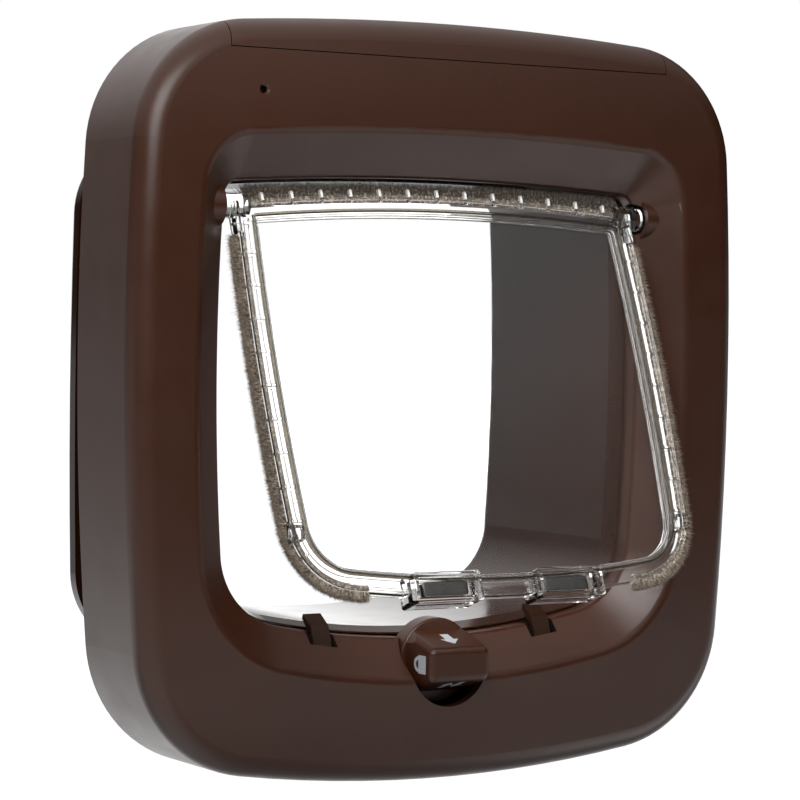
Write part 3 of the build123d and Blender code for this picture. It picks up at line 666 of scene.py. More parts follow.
@dataclass
class Shell:
    """Closed mesh data: points, faces and one shade value for each point."""

    points: np.ndarray
    quads: np.ndarray = field(default_factory=lambda: np.empty((0, 4), dtype=int))
    triangles: np.ndarray = field(default_factory=lambda: np.empty((0, 3), dtype=int))
    shade: np.ndarray | None = None

    def __post_init__(self) -> None:
        """Shade every point 0 where no shade is given."""
        if self.shade is None:
            self.shade = np.zeros(len(self.points))

    def joined(self, other: "Shell") -> "Shell":
        """This shell and another in one, the other's numbers moved up."""
        start = len(self.points)
        return Shell(
            np.concatenate([self.points, other.points]),
            np.concatenate([self.quads, other.quads + start]),
            np.concatenate([self.triangles, other.triangles + start]),
            np.concatenate([self.shade, other.shade]),
        )

    def turned_out(self) -> "Shell":
        """Turn the faces outwards where the sign of the volume says that they point in.

        Returns:
            The shell with its faces pointing outwards.
        """
        halves = np.concatenate([self.quads[:, [0, 1, 2]], self.quads[:, [0, 2, 3]], self.triangles])
        a, b, c = (self.points[halves[:, index]] for index in range(3))
        if np.einsum("ij,ij->", a, np.cross(b, c)) < 0:
            return Shell(self.points, self.quads[:, ::-1], self.triangles[:, ::-1], self.shade)
        return self

    def piece(self, name: str, finish: Finish, smooth: bool) -> bpy.types.Object:
        """Put the shell into the scene.

        Args:
            name: the piece's name.
            finish: its finish.
            smooth: whether its faces share normals.

        Returns:
            The object, at the origin.
        """
        mesh = bpy.data.meshes.new(name)
        faces = self.quads.tolist() + self.triangles.tolist()
        mesh.from_pydata(self.points.tolist(), [], faces)
        shade = mesh.attributes.new("shade", "FLOAT", "POINT")
        shade.data.foreach_set("value", self.shade.astype(np.float32))
        mesh.polygons.foreach_set("use_smooth", np.full(len(faces), smooth))
        mesh.materials.append(Paints.of(finish))
        mesh.update()
        return linked(name, mesh)

    def on_flap(self, name: str, finish: Finish, slot: str, smooth: bool = True) -> None:
        """Put the shell into the scene as a piece of the flap, with its faces pointing outwards.

        Args:
            name: the piece's name.
            finish: its finish.
            slot: not used.
            smooth: whether its faces share normals.
        """
        piece = self.turned_out().piece(name, finish, smooth)
        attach(piece, "flap")
        LOG.info("set %s on the flap", name)


def grid_quads(rows: int, columns: int, closed: bool = False) -> np.ndarray:
    """Faces between neighbouring rings of points.

    Args:
        rows: number of rings.
        columns: points in each ring, which closes on itself.
        closed: whether the last ring joins the first.

    Returns:
        Four point numbers for each face, by row and column: here, next row, both next, next column.
    """
    row, column = np.meshgrid(np.arange(rows if closed else rows - 1), np.arange(columns), indexing="ij")
    here, over = row * columns, (row + 1) % rows * columns
    after = (column + 1) % columns
    return np.stack([here + column, over + column, over + after, here + after], axis=-1).reshape(-1, 4)


def signed_power(value: np.ndarray, power: float) -> np.ndarray:
    """The value's size to a power, with its sign."""
    return np.sign(value) * np.abs(value) ** power


def full_turn(steps: int) -> np.ndarray:
    """Even angles round a circle."""
    return np.linspace(0.0, 2 * math.pi, steps, endpoint=False)


@dataclass(frozen=True)
class FlapPlane:
    """The plane of the flap as it hangs open: x to the right, h up the pane, t towards the room."""

    origin_mm: Triple = HINGE_MM
    open_deg: float = 20.0

    def axes(self) -> np.ndarray:
        """The plane's three directions as rows, in the part's frame."""
        turn = math.radians(self.open_deg)
        return np.array([
            [1.0, 0.0, 0.0],
            [0.0, math.sin(turn), math.cos(turn)],
            [0.0, -math.cos(turn), math.sin(turn)],
        ])

    def to_part(self, local_mm: np.ndarray) -> np.ndarray:
        """A list of points in the part's frame, in metres: origin + x*X + h*H + t*T."""
        return (np.array(self.origin_mm) + local_mm.reshape(-1, 3) @ self.axes()) * MM


PLANE = FlapPlane()


def circle_through(a: Pair, b: Pair, c: Pair) -> tuple[np.ndarray, float]:
    """The circle through three points, as the crossing of two bisectors.

    Args:
        a: first point.
        b: second point.
        c: third point.

    Returns:
        Its centre and radius.
    """
    first, mid, last = (np.array(point) for point in (a, b, c))
    sides = np.array([mid - first, last - first])
    centre = np.linalg.solve(2 * sides, [mid @ mid - first @ first, last @ last - first @ first])
    return centre, float(np.linalg.norm(centre - first))


def angle_of(ray: np.ndarray) -> float:
    """The angle of a flat direction."""
    return math.atan2(ray[1], ray[0])


def circles_meet(a: np.ndarray, a_r: float, b: np.ndarray, b_r: float) -> np.ndarray:
    """One of the two points where circles cross, on the right of the line from the first to the second.

    Args:
        a: centre of the first circle.
        a_r: its radius.
        b: centre of the second circle.
        b_r: its radius.

    Returns:
        The point at a distance along the line of centres, and a distance across it.
    """
    span = float(np.linalg.norm(b - a))
    along = (span**2 + a_r**2 - b_r**2) / (2 * span)
    line = (b - a) / span
    return a + along * line + math.sqrt(a_r**2 - along**2) * np.array([line[1], -line[0]])


@dataclass(frozen=True)
class EdgePath:
    """A line along the flap's edge: points, outward directions and lengths from its start, in millimetres."""

    points: np.ndarray
    outward: np.ndarray
    length: np.ndarray

    @classmethod
    def of_arcs(cls, arcs: list[tuple[np.ndarray, float, float, float]], step: float = 0.2) -> "EdgePath":
        """Join arcs end to end.

        Args:
            arcs: centre, radius, start angle and end angle of each.
            step: distance between points in millimetres.

        Returns:
            The path; a point is centre + radius * (cos, sin) and its direction (cos, sin).
        """
        angles = [
            np.linspace(start, end, max(2, int(abs(end - start) * radius / step)))
            for _, radius, start, end in arcs
        ]
        outward = [np.stack([np.cos(angle), np.sin(angle)], axis=-1) for angle in angles]
        points = [centre + radius * ray for (centre, radius, _, _), ray in zip(arcs, outward)]
        line = np.concatenate(points)
        gaps = np.linalg.norm(np.diff(line, axis=0), axis=1)
        return cls(line, np.concatenate(outward), np.concatenate([[0.0], np.cumsum(gaps)]))

    def at(self, distance: np.ndarray) -> tuple[np.ndarray, np.ndarray]:
        """Read the path between its points.

        Args:
            distance: distances from its start.

        Returns:
            Points and outward directions of unit length at these distances.
        """
        pick = [np.interp(distance, self.length, column) for column in (*self.points.T, *self.outward.T)]
        ray = np.stack(pick[2:], axis=-1)
        return np.stack(pick[:2], axis=-1), ray / np.linalg.norm(ray, axis=-1, keepdims=True)

    def mirrored(self) -> "EdgePath":
        """The same path on the other side, x turned over."""
        flip = np.array([-1.0, 1.0])
        return EdgePath(self.points * flip, self.outward * flip, self.length)

    def carry(self, rings: int, out: np.ndarray, lift: np.ndarray, closed: bool = False) -> Shell:
        """Carry a ring along the path: point + out * outward in the flap's plane, and lift across it.

        Args:
            rings: how many copies of the ring stand along the path.
            out: the distance outward of each point of the ring.
            lift: its distance across the pane.
            closed: whether the path closes on itself; if not, both ends are capped.

        Returns:
            The closed shell, in the part's frame.
        """
        around = len(out)
        points, outward = self.at(np.linspace(0.0, self.length[-1], rings, endpoint=not closed))
        flat = points[:, None, :] + outward[:, None, :] * out[None, :, None]
        across = np.broadcast_to(lift[None, :, None], (rings, around, 1))
        fan = np.arange(1, 1 if closed else around - 1)
        cap = np.stack([np.zeros_like(fan), fan, fan + 1], axis=-1)
        caps = np.concatenate([cap, cap[:, ::-1] + (rings - 1) * around])
        local = np.concatenate([flat, across], axis=-1)
        return Shell(PLANE.to_part(local), grid_quads(rings, around, closed), caps)


@dataclass(frozen=True)
class FlapOutline:
    """The flap's outline in its plane, in millimetres: four bowed sides and rounded corners."""

    width: float = 149.0
    top: float = 4.6
    bottom: float = -127.0
    widest: float = -61.2
    side_bow_top: float = 1.4
    side_bow_bottom: float = 2.6
    top_bow: float = 3.9
    bottom_bow: float = 6.0
    corner_r: float = 21.0
    side_start: float = -10.6
    split_deg: float = -15.0
    bottom_end: float = 49.1
    top_half: float = 68.5

    def circles(self) -> list[tuple[np.ndarray, float]]:
        """Lay a circle through three points of each bowed side.

        Returns:
            The circles of the right side, the bottom and the top, each a centre and a radius.
        """
        half = self.width / 2
        high = (half - self.side_bow_top, self.top - self.top_bow)
        low = (half - self.side_bow_bottom, self.bottom + self.bottom_bow)
        return [
            circle_through(high, (half, self.widest), low),
            circle_through(low, (0.0, self.bottom), (-low[0], low[1])),
            circle_through((-high[0], high[1]), (0.0, self.top), high),
        ]

    def inner_loop(self, inset: float) -> EdgePath:
        """A closed line inside the outline, from the middle of the top to the right and round.

        Args:
            inset: its distance from the outline.

        Returns:
            Four arcs of the right half with radii less the inset, and their mirror image.
        """
        (side, side_r), (base, base_r), (top, top_r) = self.circles()
        corner = circles_meet(side, side_r - self.corner_r, base, base_r - self.corner_r)
        high = circles_meet(top, top_r - inset, side, side_r - inset)
        half = EdgePath.of_arcs([
            (top, top_r - inset, math.pi / 2, angle_of(high - top)),
            (side, side_r - inset, angle_of(high - side), angle_of(corner - side)),
            (corner, self.corner_r - inset, angle_of(corner - side), angle_of(corner - base)),
            (base, base_r - inset, angle_of(corner - base), -math.pi / 2),
        ])
        other = half.mirrored()
        return EdgePath(
            np.concatenate([half.points, other.points[::-1]]),
            np.concatenate([half.outward, other.outward[::-1]]),
            np.concatenate([half.length, 2 * half.length[-1] - half.length[::-1]]),
        )

    def side_paths(self) -> tuple[EdgePath, EdgePath]:
        """The right brush's line in two: down the side, and round the corner along the bottom.

        Returns:
            Four arcs, two in each path; the corner's centre lies a corner radius inside both sides.
        """
        (side, side_r), (base, base_r), _ = self.circles()
        corner = circles_meet(side, side_r - self.corner_r, base, base_r - self.corner_r)
        side_end, base_start = angle_of(corner - side), angle_of(corner - base)
        split = math.radians(self.split_deg)
        down = EdgePath.of_arcs([
            (side, side_r, math.asin((self.side_start - side[1]) / side_r), side_end),
            (corner, self.corner_r, side_end, split),
        ])
        under = EdgePath.of_arcs([
            (corner, self.corner_r, split, base_start),
            (base, base_r, base_start, -math.acos(self.bottom_end / base_r)),
        ])
        return down, under

    def top_path(self) -> EdgePath:
        """The top brush's line.

        Returns:
            One arc from right to left.
        """
        centre, radius = self.circles()[2]
        start = math.acos(self.top_half / radius)
        return EdgePath.of_arcs([(centre, radius, start, math.pi - start)])


@dataclass(frozen=True)
class Brush:
    """A strip of pile in the flap's edge: a dense core with tapered hairs standing out of it."""

    name: str
    node: str
    path: EdgePath
    pile: float
    hairs: int
    seed: int
    floor: float = 2.1
    thickness: float = 2.4
    tone: float = 0.52
    tone_spread: float = 0.27
    # Roots are darker than tips by this factor: painted shade deep in the pile.
    root_painted_shade: float = 0.6
    rise: float = 0.0
    core_share: float = 0.35
    core_rings: int = 160
    core_around: int = 14
    core_power: float = 0.5
    hair_r: float = 0.12
    sink: float = 0.4
    shortest: float = 0.64
    lean: float = 0.3
    lean_across: float = 0.6
    root_reach: float = 0.48
    clump: float = 0.6
    clump_columns: int = 4
    clump_spread: float = 0.12
    stray_share: float = 0.04
    stray_reach: float = 1.4
    stray_least: float = 0.2

    def core(self) -> Shell:
        """The dense part of the pile.

        Returns:
            A rounded block carried along the path: out runs from the groove's floor to the core's
            height, t across the thickness, both by a superellipse |u|^4 + |v|^4 = 1.
        """
        angle = full_turn(self.core_around)
        top = self.pile * self.core_share
        wave = signed_power(np.cos(angle), self.core_power)
        out = (top - self.floor) / 2 + wave * (top + self.floor) / 2
        across = signed_power(np.sin(angle), self.core_power) * self.thickness / 2
        return self.path.carry(self.core_rings, out, across).turned_out()

    def tufts(self) -> Shell:
        """The single hairs.

        Returns:
            Tetrahedra: a three-sided root of radius hair_r and a tip at root + length * (outward +
            lean along and across the edge), all hairs as one array.
        """
        draw = np.random.default_rng(self.seed)
        place = draw.uniform(0.0, self.path.length[-1], self.hairs)
        points, outward = self.path.at(place)
        across = draw.uniform(-self.root_reach, self.root_reach, self.hairs) * self.thickness
        tilt = draw.normal(0.0, self.lean, (self.hairs, 2))
        swell = self.rise * (points[:, 0] / np.abs(self.path.points[:, 0]).max()) ** 2
        length = (self.pile + swell) * draw.uniform(self.shortest, 1.0, self.hairs)
        stray = draw.uniform(size=self.hairs) < self.stray_share
        length = length + stray * draw.uniform(self.stray_least, 1.0, self.hairs) * self.stray_reach
        along = np.stack([-outward[:, 1], outward[:, 0]], axis=-1)
        root = np.concatenate([points - outward * self.sink, across[:, None]], axis=-1)
        way = np.concatenate([outward + along * tilt[:, :1], tilt[:, 1:] * self.lean_across], axis=-1)
        tip = root + (length + self.sink)[:, None] * way
        spin = draw.uniform(0.0, 2 * math.pi, self.hairs)[:, None] + np.arange(3) * 2 * math.pi / 3
        ring = self.hair_r * np.concatenate([
            along[:, None, :] * np.cos(spin)[:, :, None],
            np.sin(spin)[:, :, None],
        ], axis=-1)
        local = np.concatenate([root[:, None, :] + ring, tip[:, None, :]], axis=1)
        sides = np.array([[0, 1, 3], [1, 2, 3], [2, 0, 3], [2, 1, 0]])
        triangles = (np.arange(self.hairs)[:, None, None] * 4 + sides).reshape(-1, 3)
        shade = self.shades(draw, place, across)
        return Shell(PLANE.to_part(local), triangles=triangles, shade=shade).turned_out()

    def shades(self, draw: np.random.Generator, place: np.ndarray, across: np.ndarray) -> np.ndarray:
        """Draw how pale each hair is: the strip's tone, and a change by clump and by hair.

        Args:
            draw: the strip's random numbers.
            place: where each hair stands along the path.
            across: where it stands across the strip.

        Returns:
            Four values for each hair: three at its root, darker as painted shade, and one at its tip.
        """
        rows = int(self.path.length[-1] / self.clump) + 1
        clumps = draw.normal(0.0, self.clump_spread, (rows, self.clump_columns))
        share = (across / self.thickness + 0.5) * self.clump_columns
        column = np.clip(share, 0, self.clump_columns - 1).astype(int)
        shift = clumps[(place / self.clump).astype(int), column]
        tone = np.clip(self.tone + draw.normal(0.0, self.tone_spread, self.hairs) + shift, 0.0, 1.0)
        root = np.repeat(tone[:, None] * self.root_painted_shade, 3, axis=1)
        return np.concatenate([root, tone[:, None]], axis=1).reshape(-1)

    def build(self) -> bpy.types.Object:
        """Make the strip, let it stand for its CAD node and swing with the flap.

        Returns:
            The strip.
        """
        piece = self.core().joined(self.tufts()).piece(self.name, Finish.PILE, smooth=False)
        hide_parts(self.node)
        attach(piece, "flap")
        LOG.info("built %s with %d hairs", self.name, self.hairs)
        return piece


@dataclass(frozen=True)
class Bead:
    """A round bead laid on the flap along a closed line."""

    name: str
    path: EdgePath
    radius: float
    lift: float
    finish: Finish
    rings: int = 420
    around: int = 12

    def build(self) -> None:
        """Carry a circle along the line: r * cos outward, and lift + r * sin across the pane."""
        angle = full_turn(self.around)
        out, lift = self.radius * np.cos(angle), self.lift + self.radius * np.sin(angle)
        self.path.carry(self.rings, out, lift, closed=True).on_flap(self.name, self.finish, "clear_flap")


@dataclass(frozen=True)
class Teeth:
    """A row of short teeth on the top rail, in front of the brush."""

    path: EdgePath
    count: int = 13
    pitch: float = 10.7
    wide: float = 0.9
    reach: Pair = (-0.4, 2.1)
    lift: Pair = (1.5, 2.7)

    def build(self) -> None:
        """Set a box at each step along the path: along by +-wide / 2, outward by reach, across by lift."""
        steps = np.arange(self.count) - (self.count - 1) / 2
        points, outward = self.path.at(self.path.length[-1] / 2 + steps * self.pitch)
        along = np.stack([-outward[:, 1], outward[:, 0]], axis=-1)
        sides = np.array([[-1, 0], [1, 0], [1, 1], [-1, 1]])
        flat = (
            points[:, None, :]
            + along[:, None, :] * (sides[:, :1] * self.wide / 2)
            + outward[:, None, :] * np.array(self.reach)[sides[:, 1]][:, None]
        )
        local = np.concatenate([
            np.concatenate([flat, np.full((*flat.shape[:2], 1), level)], axis=-1) for level in self.lift
        ], axis=1)
        box = np.array([[3, 2, 1, 0], [4, 5, 6, 7], [0, 1, 5, 4], [1, 2, 6, 5], [2, 3, 7, 6], [3, 0, 4, 7]])
        quads = (np.arange(self.count)[:, None, None] * 8 + box).reshape(-1, 4)
        shell = Shell(PLANE.to_part(local), quads)
        shell.on_flap("flap_brush_teeth", Finish.TOOTH, "clear_flap", smooth=False)


@dataclass(frozen=True)
class Pad:
    """A small block with rounded edges, set on the flap."""

    name: str
    middle: Triple
    half: Triple
    turn_deg: float = 0.0
    finish: Finish = Finish.CLEAR
    slot: str = "clear_flap"
    squareness: float = 0.22
    rows: int = 17
    columns: int = 32

    def build(self) -> None:
        """Make a superellipsoid: half sizes times signed powers of the sines and cosines of two angles."""
        rows, columns = self.rows, self.columns
        tilt = np.linspace(-math.pi / 2, math.pi / 2, rows + 2)[1:-1, None]
        turn = full_turn(columns)[None, :]
        cos_tilt, sin_tilt, cos_turn, sin_turn = (
            signed_power(wave, self.squareness)
            for wave in (np.cos(tilt), np.sin(tilt), np.cos(turn), np.sin(turn))
        )
        grid = np.stack([
            cos_tilt * cos_turn, cos_tilt * sin_turn, np.broadcast_to(sin_tilt, (rows, columns)),
        ], axis=-1).reshape(-1, 3)
        local = np.concatenate([grid, [[0.0, 0.0, -1.0], [0.0, 0.0, 1.0]]]) * np.array(self.half)
        spin = math.radians(self.turn_deg)
        cos, sin = math.cos(spin), math.sin(spin)
        turned = local @ np.array([[cos, sin, 0.0], [-sin, cos, 0.0], [0.0, 0.0, 1.0]])
        quads = grid_quads(rows, columns)[:, [0, 3, 2, 1]]
        ring = np.arange(columns)
        step = (ring + 1) % columns
        last, low, high = (rows - 1) * columns, len(grid), len(grid) + 1
        caps = np.concatenate([
            np.stack([np.full(columns, low), step, ring], axis=-1),
            np.stack([np.full(columns, high), last + ring, last + step], axis=-1),
        ])
        shell = Shell(PLANE.to_part(turned + np.array(self.middle)), quads, caps)
        shell.on_flap(self.name, self.finish, self.slot)


@dataclass
class Flap:
    """The clear flap, the brush strips in its edge, its beads, teeth, clips, ears and magnets."""

    outline: FlapOutline = field(default_factory=FlapOutline)
    pile: float = 3.7
    corner_pile: float = 3.2
    top_pile: float = 5.9
    top_rise: float = 1.7
    # The top strip's low tone is painted shade for the dark gap between the flap and the housing above it.
    top_painted_shade_tone: float = -0.25
    side_hairs: int = 17000
    corner_hairs: int = 9000
    top_hairs: int = 14000
    side_seed: int = 11
    corner_seed: int = 21
    top_seed: int = 13
    press_x: float = 72.5
    press_keep: float = 0.25
    beads: tuple[tuple[str, float, float, float, Finish], ...] = (
        ("flap_room_rim", 5.1, 0.6, 2.5, Finish.RIM),
        ("flap_room_lip", 6.4, 0.4, 1.6, Finish.CLEAR),
        ("flap_street_lip", 6.4, 0.4, -1.6, Finish.CLEAR),
    )
    magnet_at: Triple = (22.2, -124.15, 1.85)
    magnet_half: Triple = (8.0, 2.3, 0.5)
    clip_at: Pair = (71.2, -105.2)
    clip_half: Triple = (2.9, 2.4, 3.3)
    clip_deg: float = 4.0
    ear_at: Pair = (73.6, -4.4)
    ear_half: Triple = (0.9, 5.2, 2.2)

    def trim(self) -> None:
        """Set the beads, and on each side the magnets, the ear and the clip."""
        for name, inset, radius, lift, finish in self.beads:
            Bead(name, self.outline.inner_loop(inset), radius, lift, finish).build()
        x, h, lift = self.magnet_at
        for name, sign in (("left", -1), ("right", 1)):
            for side, way in (("room", 1), ("street", -1)):
                magnet = Pad(f"flap_magnet_{name}_{side}", (sign * x, h, way * lift), self.magnet_half,
                             finish=Finish.MAGNET, slot="inner_black")
                magnet.build()
            Pad(f"flap_ear_{name}", (sign * self.ear_at[0], self.ear_at[1], 0.0), self.ear_half).build()
            Pad(f"flap_clip_{name}", (sign * self.clip_at[0], self.clip_at[1], 0.0), self.clip_half,
                sign * self.clip_deg).build()

    def build(self) -> None:
        """Dress the pane and build the strips, giving each side strip a mesh of its own."""
        dress("flap_window", Finish.CLEAR)
        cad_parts["flap_window"].visible_shadow = False
        self.trim()
        down, under = self.outline.side_paths()
        sides = (("left", -1, down.mirrored(), under.mirrored()), ("right", 1, down, under))
        for index, (side, sign, upright, corner) in enumerate(sides):
            node = f"{side}_brush"
            strip = Brush(
                f"{node}_pile", node, upright, self.pile, self.side_hairs, self.side_seed + index).build()
            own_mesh(strip)
            Brush(f"{node}_corner_pile", node, corner, self.corner_pile, self.corner_hairs,
                  self.corner_seed + index).build()
        edge = self.outline.top_path()
        Brush("top_brush_pile", "top_brush", edge, self.top_pile, self.top_hairs, self.top_seed,
              tone=self.top_painted_shade_tone, rise=self.top_rise).build()
        Teeth(edge).build()


@dataclass
class Housing:
    """The indoor housing with its lid, the outdoor frame and their screws."""

    indoors: tuple[str, ...] = ("front_housing", "battery_cover", "rear_cover")
    outdoors: str = "exterior_frame"
    screws: tuple[str, ...] = ("housing_screws", "door_screws")

    def build(self) -> None:
        """Dress the mouldings and their screws."""
        for node in self.indoors:
            dress(node, Finish.HOUSING)
        dress(self.outdoors, Finish.TUNNEL)
        for node in self.screws:
            dress(node, Finish.STEEL)


@dataclass
class Works:
    """What is inside the housing: cells, board, aerial and solenoid."""

    finishes: tuple[tuple[str, Finish], ...] = (
        ("battery_tray", Finish.INNER),
        ("batteries", Finish.CELL),
        ("battery_contacts", Finish.NICKEL),
        ("control_board", Finish.BOARD),
        ("learn_switch", Finish.INNER),
        ("status_led", Finish.PIPE),
        ("learn_button", Finish.BUTTON),
        ("antenna_coil", Finish.COPPER),
        ("lock_solenoid", Finish.STEEL),
        ("solenoid_plunger", Finish.STEEL),
    )

    def build(self) -> None:
        """Dress each piece."""
        for node, finish in self.finishes:
            dress(node, finish)


@dataclass(frozen=True)
class Arrow:
    """An arrow that points along +u with its middle at the origin, in millimetres."""

    length: float
    head: float
    head_wide: float
    shaft_wide: float

    def outline(self) -> np.ndarray:
        """Lay out the arrow's edge.

        Returns:
            Seven corners, anticlockwise.
        """
        tail, neck, tip = -self.length / 2, self.length / 2 - self.head, self.length / 2
        barb, shaft = self.head_wide / 2, self.shaft_wide / 2
        return np.array([
            [tail, -shaft], [neck, -shaft], [neck, -barb], [tip, 0.0],
            [neck, barb], [neck, shaft], [tail, shaft],
        ])


@dataclass(frozen=True)
class Padlock:
    """A padlock whose shackle points along -u, in millimetres."""

    long: float = 4.2
    wide: float = 5.8
    shackle_r: float = 1.9
    wire: float = 1.1
    steps: int = 14

    def outlines(self) -> list[np.ndarray]:
        """Lay out the body and the shackle.

        Returns:
            The body's four corners, and a half ring: out along the outer arc and back along the inner.
        """
        edge = self.wide / 2
        block = np.array([[0.0, -edge], [self.long, -edge], [self.long, edge], [0.0, edge]])
        angle = np.linspace(math.pi / 2, 3 * math.pi / 2, self.steps)
        ray = np.stack([np.cos(angle), np.sin(angle)], axis=-1)
        outer, inner = self.shackle_r + self.wire / 2, self.shackle_r - self.wire / 2
        return [block, np.concatenate([ray * outer, ray[::-1] * inner])]


@dataclass(frozen=True)
class GripFace:
    """One long face of the knob's grip: its middle, and u towards the front along its slope."""

    middle_mm: Triple
    forward: Triple
    outward: Triple

    def axes(self) -> np.ndarray:
        """Square up the face's directions.

        Returns:
            Directions u, v and out as rows of unit length.
        """
        forward = np.array(self.forward) / np.linalg.norm(self.forward)
        outward = np.array(self.outward) / np.linalg.norm(self.outward)
        return np.stack([forward, np.cross(outward, forward), outward])

    def prism(self, outline: np.ndarray, low: float, high: float) -> tuple[np.ndarray, list[list[int]]]:
        """A flat outline carried a short way along the face's normal.

        Args:
            outline: corners in u and v, in millimetres, anticlockwise.
            low: where it starts along the normal.
            high: where it ends.

        Returns:
            Points in metres, and faces: the two ends and one wall for each side.
        """
        count = len(outline)
        levels = np.repeat([low, high], count)[:, None]
        local = np.concatenate([np.concatenate([outline, outline]), levels], axis=-1)
        points = (np.array(self.middle_mm) + local @ self.axes()) * MM
        index = np.arange(count)
        after = (index + 1) % count
        walls = np.stack([index, after, after + count, index + count], axis=-1)
        return points, [index[::-1].tolist(), (index + count).tolist(), *walls.tolist()]


@dataclass
class Lock:
    """The four-way knob with its printed marks, and the catches."""

    axis_z: float = KNOB_Z_MM
    base_y: float = -32.0
    front_y: float = -46.5
    base_half: Pair = (11.7, 9.8)
    front_half: Pair = (11.2, 5.1)
    mark_low: float = -0.03
    mark_high: float = 0.05
    wide_arrow: Arrow = Arrow(7.4, 3.6, 6.4, 3.0)
    slim_arrow: Arrow = Arrow(8.2, 3.8, 4.0, 1.9)
    slim_shift: Pair = (1.6, 2.0)
    padlock: Padlock = Padlock()

    def faces(self) -> dict[str, GripFace]:
        """Place the grip's four long faces, each between its base edge and its front edge.

        Returns:
            The faces by name.
        """
        mid_y = (self.base_y + self.front_y) / 2
        run = self.front_y - self.base_y
        mid_x, mid_h = ((base + front) / 2 for base, front in zip(self.base_half, self.front_half))
        fall_x, fall_h = (front - base for base, front in zip(self.base_half, self.front_half))
        return {
            "top": GripFace((0.0, mid_y, self.axis_z + mid_h), (0.0, run, fall_h), (0.0, fall_h, -run)),
            "bottom": GripFace((0.0, mid_y, self.axis_z - mid_h), (0.0, run, -fall_h), (0.0, fall_h, run)),
            "left": GripFace((-mid_x, mid_y, self.axis_z), (-fall_x, run, 0.0), (run, fall_x, 0.0)),
            "right": GripFace((mid_x, mid_y, self.axis_z), (fall_x, run, 0.0), (-run, fall_x, 0.0)),
        }

    def mark(self, name: str, face: GripFace, outlines: list[np.ndarray]) -> None:
        """Print one mark on a face of the grip.

        Args:
            name: the piece's name.
            face: the face that carries it.
            outlines: its closed shapes.
        """
        points, faces = [], []
        for outline in outlines:
            new_points, new_faces = face.prism(outline, self.mark_low, self.mark_high)
            faces += [[number + len(points) for number in corners] for corners in new_faces]
            points += new_points.tolist()
        mesh = bpy.data.meshes.new(name)
        mesh.from_pydata(points, [], faces)
        mesh.materials.append(Paints.of(Finish.INK))
        mesh.update()
        piece = linked(name, mesh)
        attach(piece, "knob")
        LOG.info("printed %s", name)

    def build(self) -> None:
        """Dress the mouldings and print the four marks: in, out, both ways and locked."""
        dress("lock_knob", Finish.KNOB)
        for node in ("detent_hub", "catch_bar"):
            dress(node, Finish.CATCH)
        dress("detent_spring", Finish.NICKEL)
        faces = self.faces()
        wide, slim = self.wide_arrow.outline(), self.slim_arrow.outline()
        along, aside = self.slim_shift
        both_ways = [slim + [along, aside], slim * [-1, -1] + [along, -aside]]
        self.mark("knob_mark_in", faces["top"], [wide])
        self.mark("knob_mark_out", faces["right"], [wide * [-1, -1]])
        self.mark("knob_mark_both", faces["bottom"], both_ways)
        self.mark("knob_mark_locked", faces["left"], self.padlock.outlines())


def standing(turn: np.ndarray, place: Triple) -> Matrix:
    """Work out where an object stands and faces.

    Args:
        turn: the object's three directions as columns.
        place: where it stands, in metres.

    Returns:
        The object's matrix.
    """
    full = np.eye(4)
    full[:3, :3] = turn
    full[:3, 3] = place
    return Matrix(full.tolist())


